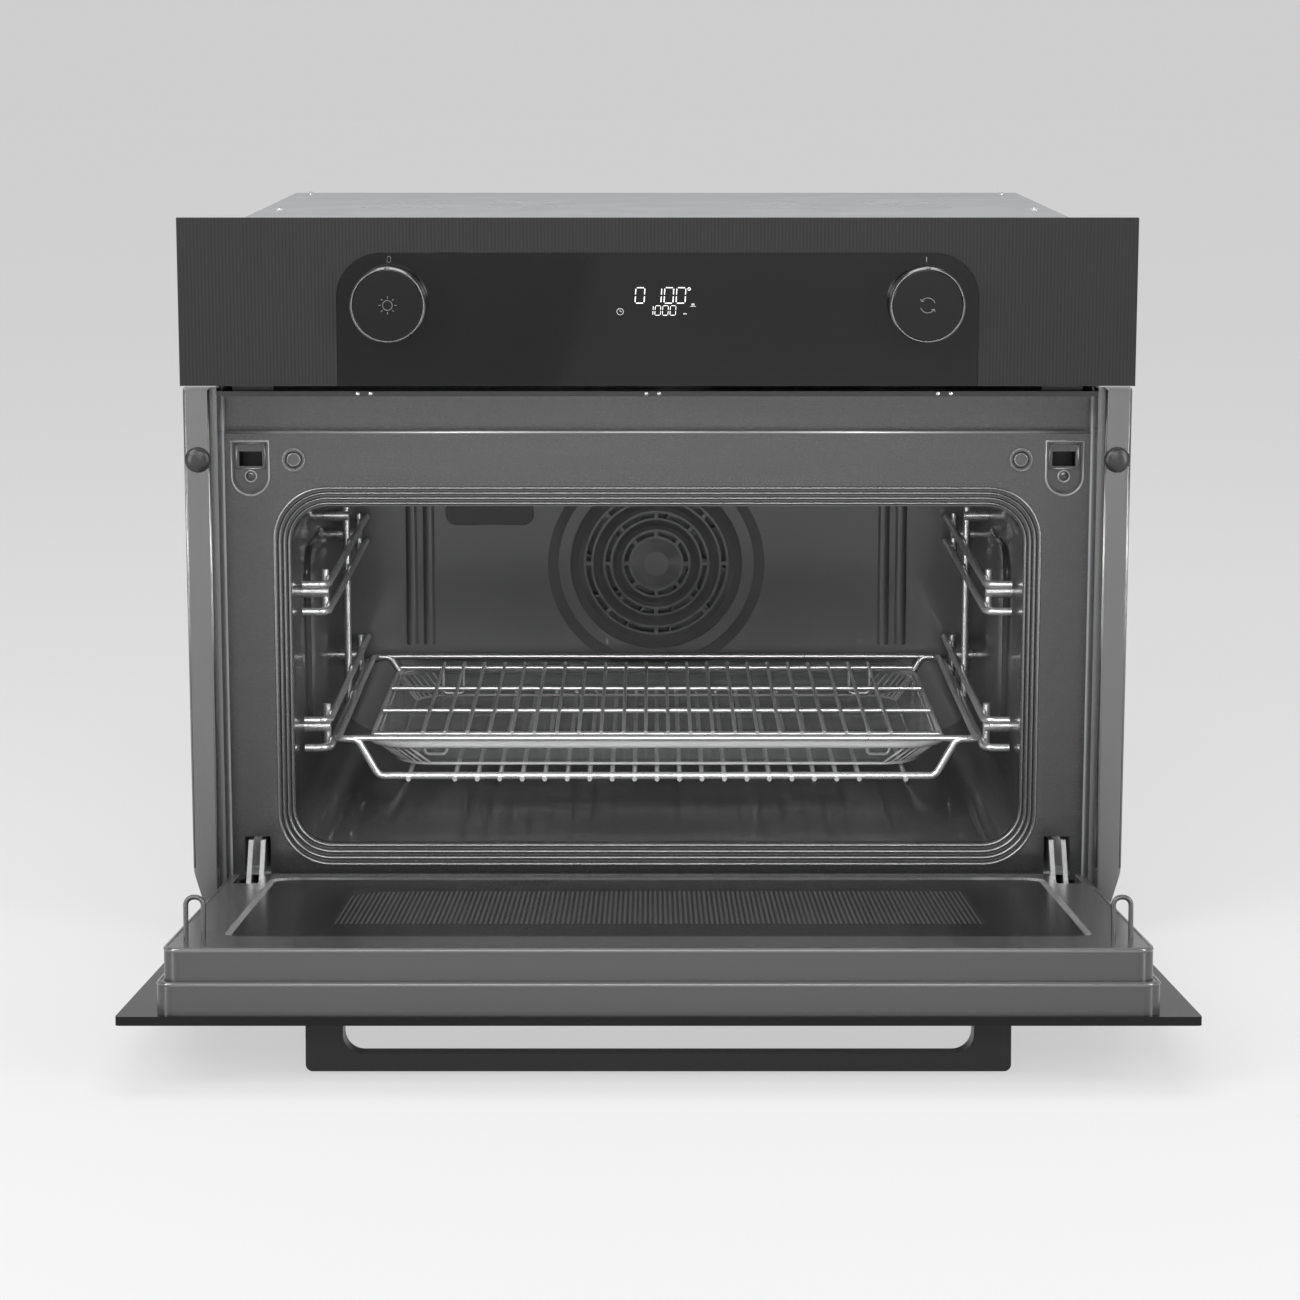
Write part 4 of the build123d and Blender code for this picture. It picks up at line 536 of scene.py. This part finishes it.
def cover_screws():
    """Fixing screws round the edges of the back, top and side covers."""
    mesh = bmesh.new()
    low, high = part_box("back_cover")
    to_back = Matrix.Rotation(-pi / 2, 4, "X")
    for x in (low.x + BACK_INSET, *BACK_SCREWS_X, high.x - BACK_INSET):
        for z in (low.z + BACK_INSET, high.z - BACK_INSET):
            screw_head(mesh, Matrix.Translation((x, high.y, z)) @ to_back, SCREW_R, SCREW_H)
    low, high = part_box("top_cover")
    for x in (low.x + TOP_INSET, high.x - TOP_INSET):
        for y in TOP_SCREWS_Y:
            screw_head(mesh, Matrix.Translation((x, y, high.z)), SCREW_R, SCREW_H)
    low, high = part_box("side_panels")
    for side, x in ((-1, low.x), (1, high.x)):
        out = Matrix.Rotation(side * pi / 2, 4, "Y")
        for y in SIDE_SCREWS_Y:
            for z in SIDE_SCREWS_Z:
                screw_head(mesh, Matrix.Translation((x, y, z)) @ out, SCREW_R, SCREW_H)
    piece("cover_screws", mesh, "root", "zinc_sheet", "chrome_trim")


# Pieces on the door are laid out on the shut door and turned to its rest pose.
# A window, mouth or bracket is given by its half width, bottom and top.
DOOR_SWING = Matrix.Rotation(radians(90) - DOOR_LEAN, 4, "X")
DOOR_TURN = Matrix.Translation(DOOR_PIVOT) @ DOOR_SWING @ Matrix.Translation(-DOOR_PIVOT)
LINER_FACE_Y = 0.0195
WINDOW = (0.246, 0.030, 0.292)
RIM_IN = 0.0035
RIM_R = 0.015
RIM_DEPTH = 0.0011


def rounded_loop(half, low, high, radius, steps=8):
    """Points along a rounded rectangle that is centred on its first axis."""
    points = []
    for x, z, start in ((1, 1, 0), (-1, 1, 90), (-1, -1, 180), (1, -1, 270)):
        centre = Vector((x * (half - radius), (high if z > 0 else low) - z * radius))
        for i in range(steps + 1):
            turn = radians(start + 90 * i / steps)
            points.append(centre + Vector((cos(turn), sin(turn))) * radius)
    return points


def window_rim():
    """A bright bevel round the door's inner pane."""
    half, low, high = WINDOW
    outer = rounded_loop(half, low, high, RIM_R)
    inner = rounded_loop(half - RIM_IN, low + RIM_IN, high - RIM_IN, RIM_R - RIM_IN)
    mesh = bmesh.new()
    floor_y = LINER_FACE_Y - RIM_DEPTH
    top = [mesh.verts.new(DOOR_TURN @ Vector((p.x, LINER_FACE_Y, p.y))) for p in outer]
    low_edge = [mesh.verts.new(DOOR_TURN @ Vector((p.x, floor_y, p.y))) for p in inner]
    foot = [mesh.verts.new(DOOR_TURN @ Vector((p.x, floor_y, p.y))) for p in outer]
    count = len(outer)
    for i in range(count):
        j = (i + 1) % count
        mesh.faces.new((top[i], top[j], low_edge[j], low_edge[i]))
        mesh.faces.new((low_edge[i], low_edge[j], foot[j], foot[i]))
        mesh.faces.new((foot[i], foot[j], top[j], top[i]))
    bmesh.ops.recalc_face_normals(mesh, faces=mesh.faces)
    piece("window_rim", mesh, "door", "liner_paint", "chrome_trim")


# A share here is of a bead's radius; a ridge's step is given along X, Z and Y
FRAME_FACE_Y = 0.021
MOUTH = (0.236, 0.047, 0.269)
MOUTH_R = 0.024
RIDGES = 4
RIDGE_STEP = (0.0028, 0.0036, 0.0025)
BEAD_R = 0.0012
BEAD_SINK_SHARE = 0.3
LOOP_STEPS = 12
TO_FRONT = Vector((0, -1, 0))
UPWARD = Vector((0, 0, 1))


def tube(mesh, points, normal, radius, sides=8, closed=True):
    """A round bead along a flat run of points."""
    count = len(points)
    turns = [2 * pi * k / sides for k in range(sides)]
    rings = []
    for i, point in enumerate(points):
        before = points[i - 1] if closed or i else point
        after = points[(i + 1) % count] if closed or i + 1 < count else point
        out = (after - before).normalized().cross(normal)
        rings.append([mesh.verts.new(point + radius * (out * cos(t) + normal * sin(t))) for t in turns])
    for i in range(count if closed else count - 1):
        near, far = rings[i], rings[(i + 1) % count]
        for k in range(sides):
            after = (k + 1) % sides
            mesh.faces.new((near[k], near[after], far[after], far[k])).smooth = True
    if not closed:
        mesh.faces.new(rings[0])
        mesh.faces.new(rings[-1])
    bmesh.ops.recalc_face_normals(mesh, faces=mesh.faces)


def round_path(centre, radius, steps=32):
    """Points on an upright circle that faces the front."""
    turns = [2 * pi * i / steps for i in range(steps)]
    return [centre + Vector((radius * cos(t), 0, radius * sin(t))) for t in turns]


def mouth_beads():
    """Rounded beads pressed into the frame, one on each step round the mouth, in a steel paler than the
    frame that paints their highlight.
    """
    mesh = bmesh.new()
    half, low, high = MOUTH
    for step in range(RIDGES):
        out_x, out_z = RIDGE_STEP[0] * (step + 0.5), RIDGE_STEP[1] * (step + 0.5)
        y = FRAME_FACE_Y + (RIDGES - 1 - step) * RIDGE_STEP[2] + BEAD_R * BEAD_SINK_SHARE
        path = rounded_loop(half + out_x, low - out_z, high + out_z, MOUTH_R + out_x, LOOP_STEPS)
        tube(mesh, [Vector((p.x, y, p.y)) for p in path], TO_FRONT, BEAD_R)
    piece("mouth_beads", mesh, "root", "steel_satin", "painted_highlight_steel")


# A latch pocket: middle, half width, height where its round foot starts, and top
POCKET = (0.2605, 0.012, 0.289, 0.312)
POCKET_STEPS = 16
POCKET_BEAD_R = 0.0006
POCKET_RISE_SHARE = 0.3
BUFFER = (0.2325, 0.300)
BUFFER_RINGS = (0.0070, 0.0040)
BUFFER_SINK = 0.0005
# Radius of each buffer's groove, and of the dark ring of painted shade laid in it
BUFFER_GROOVE = 0.0054
BUFFER_GROOVE_R = 0.0006


def frame_rings():
    """The turned edge of each latch pocket and the rings of each buffer, as pale beads of painted
    highlight, and a dark ring of painted shade in each buffer's groove.
    """
    mesh = bmesh.new()
    rings = bmesh.new()
    groove_shade = bmesh.new()
    centre, half, turn_z, top_z = POCKET
    y = FRAME_FACE_Y - POCKET_BEAD_R * POCKET_RISE_SHARE
    buffer_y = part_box("door_buffers")[0].y + BUFFER_SINK
    for side in (-1, 1):
        path = [Vector((side * centre + half, y, top_z)), Vector((side * centre - half, y, top_z))]
        for i in range(POCKET_STEPS + 1):
            turn = pi + pi * i / POCKET_STEPS
            path.append(Vector((side * centre + half * cos(turn), y, turn_z + half * sin(turn))))
        tube(mesh, path, TO_FRONT, POCKET_BEAD_R)
        middle = Vector((side * BUFFER[0], buffer_y, BUFFER[1]))
        for radius in BUFFER_RINGS:
            tube(rings, round_path(middle, radius), TO_FRONT, POCKET_BEAD_R)
        tube(groove_shade, round_path(middle, BUFFER_GROOVE), TO_FRONT, BUFFER_GROOVE_R)
    piece("pocket_edges", mesh, "root", "steel_satin", "painted_highlight_edge")
    piece("buffer_rings", rings, "root", "black_rubber", "painted_highlight_steel")
    # A dark ring in each shallow groove: painted shade
    piece("buffer_groove_painted_shade", groove_shade, "root", "black_rubber", "knob_black")


FRAME_BAND_Z = 0.318
FRAME_HALF = 0.2762
FOLD_SINK_SHARE = 0.4
TRIM_BEAD_R = 0.0010
TRIM_BEAD_SINK = 0.0009
TRIM_BEAD_LOW = 0.040
TRIM_IN = 0.2815


def frame_edges():
    """Rounded folds, pale with painted highlight: below the frame's upper band and up both edges of each
    trim.
    """
    mesh = bmesh.new()
    sink = BEAD_R * FOLD_SINK_SHARE
    ends = (-FRAME_HALF, FRAME_HALF)
    fold = [Vector((x, FRAME_FACE_Y + sink, FRAME_BAND_Z - sink)) for x in ends]
    tube(mesh, fold, TO_FRONT, BEAD_R, closed=False)
    piece("frame_fold", mesh, "root", "steel_satin", "painted_highlight_edge")
    mesh = bmesh.new()
    low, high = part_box("side_trims")
    ends = (TRIM_BEAD_LOW, high.z - TRIM_BEAD_R)
    for x in (high.x - TRIM_BEAD_SINK, TRIM_IN + TRIM_BEAD_SINK):
        for side in (-1, 1):
            line = [Vector((side * x, low.y + TRIM_BEAD_SINK, z)) for z in ends]
            tube(mesh, line, TO_FRONT, TRIM_BEAD_R, closed=False)
    piece("trim_edges", mesh, "root", "trim_steel", "painted_highlight_steel")


# Half width, top and depth of each drawn edge
LINER_EDGES = ((0.2735, 0.3395, LINER_FACE_Y), (0.277, 0.343, 0.001))
LINER_CORNER = 0.010
LINER_STEPS = 10
LINER_BEAD_R = 0.0016
LINER_SINK_SHARE = 0.75
LINER_BEAD_LOW = 0.030


def liner_beads_with_highlight():
    """The drawn, rounded edges of the liner, from one hinge side round to the other, in paler paint as
    painted highlight.
    """
    mesh = bmesh.new()
    sink = LINER_BEAD_R * LINER_SINK_SHARE
    normal = DOOR_TURN.to_3x3() @ Vector((0, 1, 0))
    for half, high, y in LINER_EDGES:
        loop = rounded_loop(half - sink, LINER_BEAD_LOW, high - sink, LINER_CORNER - sink, LINER_STEPS)
        first, last = Vector((half - sink, LINER_BEAD_LOW)), Vector((sink - half, LINER_BEAD_LOW))
        path = [first, *loop[:len(loop) // 2], last]
        path = [DOOR_TURN @ Vector((q.x, y - sink, q.y)) for q in path]
        tube(mesh, path, normal, LINER_BEAD_R, closed=False)
    piece("liner_beads_with_highlight", mesh, "door", "liner_paint", "painted_liner_highlight")


# Inset, height from the rim and radius of each line of painted highlight
TRAY_CORNER = 0.026
TRAY_LINES = ((0.0, -0.0024, 0.0024), (0.0042, -0.0006, 0.0006), (0.0156, -0.0184, 0.0010))


def tray_edge():
    """Lines of painted highlight on the rim of the glass tray, outside and inside, and on the edge of its
    floor.
    """
    mesh = bmesh.new()
    low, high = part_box("glass_tray")
    for inset, drop, radius in TRAY_LINES:
        path = rounded_loop(high.x - inset, low.y + inset, high.y - inset, TRAY_CORNER, LOOP_STEPS)
        tube(mesh, [Vector((p.x, p.y, high.z + drop)) for p in path], UPWARD, radius)
    piece("tray_edge", mesh, "tray", "clear_glass", "painted_glass_highlight")


FLUTES = 8
FLUTE_R = 0.0011
FLUTE_FOOT = 0.002
FLUTE_HEAD = 0.004
FLUTE_INSET = 0.002
TRAY_TAPER = 0.016


def tray_flutes():
    """Upright flutes pressed into the four corners of the glass tray, pale with painted highlight."""
    mesh = bmesh.new()
    low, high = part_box("glass_tray")
    middle = (low + high) / 2
    ends = ((TRAY_TAPER, low.z + FLUTE_FOOT), (FLUTE_INSET, high.z - FLUTE_HEAD))
    for side_x, side_y in ((1, 1), (-1, 1), (-1, -1), (1, -1)):
        for i in range(FLUTES):
            turn = pi / 2 * (i + 0.5) / FLUTES
            way = Vector((side_x * cos(turn), side_y * sin(turn), 0))
            path = []
            for inset, z in ends:
                reach = Vector((side_x * (high.x - middle.x - inset - TRAY_CORNER),
                                side_y * (high.y - middle.y - inset - TRAY_CORNER), 0))
                path.append(Vector((middle.x, middle.y, z)) + reach + way * TRAY_CORNER)
            tube(mesh, path, way, FLUTE_R, closed=False)
    piece("tray_flutes", mesh, "tray", "clear_glass", "painted_glass_highlight")


PLATE_SCREW = (POCKET[0], 0.0239, POCKET[2])
PLATE_FACE_Y = 0.0254
PLATE_SCREW_R = 0.0030
PLATE_SCREW_H = 0.0013
PLATE_RING_R = 0.0036
BRACKET = (0.0092, 0.2937, 0.3100)
BRACKET_R = 0.0006


def plate_screws():
    """The cross-slot screw at the foot of each latch pocket, in a washer drawn as a pale ring of painted
    highlight.
    """
    mesh = bmesh.new()
    spots = [Vector((side * PLATE_SCREW[0], PLATE_SCREW[1], PLATE_SCREW[2])) for side in (-1, 1)]
    for spot in spots:
        screw_head(mesh, Matrix.Translation(spot) @ HEAD_TO_FRONT, PLATE_SCREW_R, PLATE_SCREW_H)
    piece("plate_screws", mesh, "root", "steel_satin", "loop_steel")
    mesh = bmesh.new()
    for spot in spots:
        tube(mesh, round_path(spot, PLATE_RING_R), TO_FRONT, BRACKET_R)
    piece("plate_washers", mesh, "root", "steel_satin", "painted_highlight_edge")


def latch_brackets():
    """The folded lips of the bracket round each latch slot, pale with painted highlight."""
    mesh = bmesh.new()
    half, low, high = BRACKET
    for side in (-1, 1):
        x = side * PLATE_SCREW[0]
        places = ((x - half, low), (x + half, low), (x + half, high), (x - half, high))
        corners = [Vector((u, PLATE_FACE_Y, z)) for u, z in places]
        for start, end in zip(corners, corners[1:] + corners[:1]):
            tube(mesh, [start, end], TO_FRONT, BRACKET_R, closed=False)
    piece("latch_brackets", mesh, "root", "steel_satin", "painted_highlight_edge")


RIVET_R = 0.0013
RIVET_H = 0.0008
RIVET_RISE = 0.0018
RIVET_STEP = 0.004
RIVETS_X = (-0.184, -0.003, 0.180)


def vent_rivets():
    """Pairs of small rivets along the lip of the air outlet."""
    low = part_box("vent_deflector")[0]
    mesh = bmesh.new()
    for x in RIVETS_X:
        for step in (-RIVET_STEP, RIVET_STEP):
            spot = Matrix.Translation((x + step, low.y, low.z + RIVET_RISE))
            screw_head(mesh, spot @ HEAD_TO_FRONT, RIVET_R, RIVET_H)
    piece("vent_rivets", mesh, "root", "zinc_sheet", "chrome_trim")


window_rim()
mouth_beads()
frame_rings()
frame_edges()
liner_beads_with_highlight()
plate_screws()
latch_brackets()
tray_edge()
tray_flutes()
vent_rivets()
display()
dial_marks()
knob_symbols()
cover_screws()

# Stage, light and camera
FLOOR_SIZE = 40
FLOOR_DROP = 0.0005
FLOOR_GLOW = 0.80
FLOOR_MIX = 0.7
floor_z = cad_box[0][2] - FLOOR_DROP
bpy.ops.mesh.primitive_plane_add(size=FLOOR_SIZE, location=(0, 0, floor_z))
floor = bpy.context.object
floor.name = "floor"


def either(tree, first, second):
    """One for rays of either kind, and zero for the rest."""
    return calc(tree, "MINIMUM", calc(tree, "ADD", first, second), 1.0)


def seen_directly(tree):
    """One for rays from the camera or through glass, and zero for the rest."""
    path = add(tree, "LightPath")
    return either(tree, path.outputs["Is Camera Ray"], path.outputs["Is Transmission Ray"])


def floor_finish():
    """A pale matt floor that turns mostly to glow for the camera, gloss and glass."""
    mat, tree, bsdf = new_material("pale_floor")
    bsdf.inputs["Roughness"].default_value = 0.9
    slow = noise(tree, place(tree), 1.5)
    tree.links.new(blend_colour(tree, slow, shade(0.80), shade(0.84)), bsdf.inputs["Base Color"])
    glow = add(tree, "Emission", Strength=1.0, Color=shade(FLOOR_GLOW))
    mix = add(tree, "MixShader")
    gloss = add(tree, "LightPath").outputs["Is Glossy Ray"]
    shown = either(tree, seen_directly(tree), gloss)
    tree.links.new(calc(tree, "MULTIPLY", shown, FLOOR_MIX), mix.inputs[0])
    tree.links.new(bsdf.outputs[0], mix.inputs[1])
    tree.links.new(glow.outputs[0], mix.inputs[2])
    tree.links.new(mix.outputs[0], tree.nodes["Material Output"].inputs["Surface"])
    return mat


floor.data.materials.append(floor_finish())

# For gloss, the room turns into the backdrop between two values of a ray's Y
WORLD_FILL = 0.26
BACKDROP = 0.62
ROOM_FRONT = 0.05
BACK_START = -0.1
BACK_FULL = 0.3


def studio_world():
    """A pale backdrop; gloss sees the same backdrop behind the object and a dim room in front of it."""
    world = bpy.data.worlds.new("studio")
    scene.world = world
    world.use_nodes = True
    tree = world.node_tree
    background = tree.nodes["Background"]
    coords = add(tree, "TexCoord")
    parts = add(tree, "SeparateXYZ")
    tree.links.new(coords.outputs["Generated"], parts.inputs["Vector"])
    behind = add(tree, "MapRange")
    behind.inputs["From Min"].default_value = BACK_START
    behind.inputs["From Max"].default_value = BACK_FULL
    behind.inputs["To Min"].default_value = ROOM_FRONT
    behind.inputs["To Max"].default_value = BACKDROP
    tree.links.new(parts.outputs["Y"], behind.inputs["Value"])
    direct = seen_directly(tree)
    gloss = add(tree, "LightPath").outputs["Is Glossy Ray"]
    rest = calc(tree, "SUBTRACT", 1.0, either(tree, direct, gloss))
    level = calc(tree, "MULTIPLY", direct, BACKDROP)
    level = calc(tree, "ADD", level, calc(tree, "MULTIPLY", gloss, behind.outputs["Result"]))
    level = calc(tree, "ADD", level, calc(tree, "MULTIPLY", rest, WORLD_FILL))
    tree.links.new(level, background.inputs["Strength"])
    background.inputs["Color"].default_value = shade(1.0)


studio_world()


CARD_Y = -3.2
CARD_CORNERS = ((-3.0, -0.6), (-0.298, -0.6), (0.129, 1.1), (-3.0, 1.1))
CARD_GLOW = 0.45


def reflector():
    """A dim card with a slanted edge, behind the camera to its left, that the glossy panel mirrors."""
    mesh = bmesh.new()
    mesh.faces.new([mesh.verts.new((x, CARD_Y, z)) for x, z in CARD_CORNERS])
    data = bpy.data.meshes.new("reflector_card")
    mesh.to_mesh(data)
    mesh.free()
    card = bpy.data.objects.new("reflector_card", data)
    scene.collection.objects.link(card)
    mat, _, bsdf = new_material("reflector_card")
    bsdf.inputs["Base Color"].default_value = shade(0.0)
    bsdf.inputs["Emission Color"].default_value = shade(1.0)
    bsdf.inputs["Emission Strength"].default_value = CARD_GLOW
    data.materials.append(mat)
    card.visible_camera = False
    card.visible_diffuse = False
    card.visible_shadow = False
    card.visible_transmission = False


reflector()


def lamp(name, place_at, target, size, power):
    """A flat lamp that faces a target; sizes in metres, power in watts."""
    data = bpy.data.lights.new(name, "AREA")
    data.energy = power
    data.shape = "RECTANGLE"
    data.size, data.size_y = size
    obj = bpy.data.objects.new(name, data)
    scene.collection.objects.link(obj)
    obj.location = place_at
    obj.rotation_euler = (Vector(target) - Vector(place_at)).to_track_quat("-Z", "Y").to_euler()


lamp("key", (-1.7, -1.9, 2.0), (0, 0, 0.25), (1.4, 1.4), 42)
lamp("fill", (1.9, -1.7, 1.5), (0, 0, 0.25), (1.4, 1.4), 21)
lamp("top", (0, -0.3, 2.3), (0, -0.1, 0.2), (1.8, 1.2), 20)
lamp("front", (0, -3.2, 1.6), (0, 0.2, 0.15), (1.6, 0.6), 29)
lamp("low_front", (0, -2.6, 0.42), (0, 0.3, 0.12), (1.2, 0.12), 5)
lamp("left_strip", (-1.25, -1.0, 0.45), (0, 0.1, 0.2), (0.15, 1.2), 9)
lamp("right_strip", (1.25, -1.0, 0.45), (0, 0.1, 0.2), (0.15, 1.2), 9)

CAMERA_AT = (-0.0047, -2.217, 0.573)
CAMERA_PITCH = 10.05
LENS_MM = 97.5
SENSOR_MM = 36
VIEW_END = 100
camera = bpy.data.objects.new("camera", bpy.data.cameras.new("camera"))
scene.collection.objects.link(camera)
camera.location = CAMERA_AT
camera.rotation_euler = (radians(90 - CAMERA_PITCH), 0, 0)
camera.data.lens = LENS_MM
camera.data.sensor_width = SENSOR_MM
camera.data.clip_end = VIEW_END
scene.camera = camera
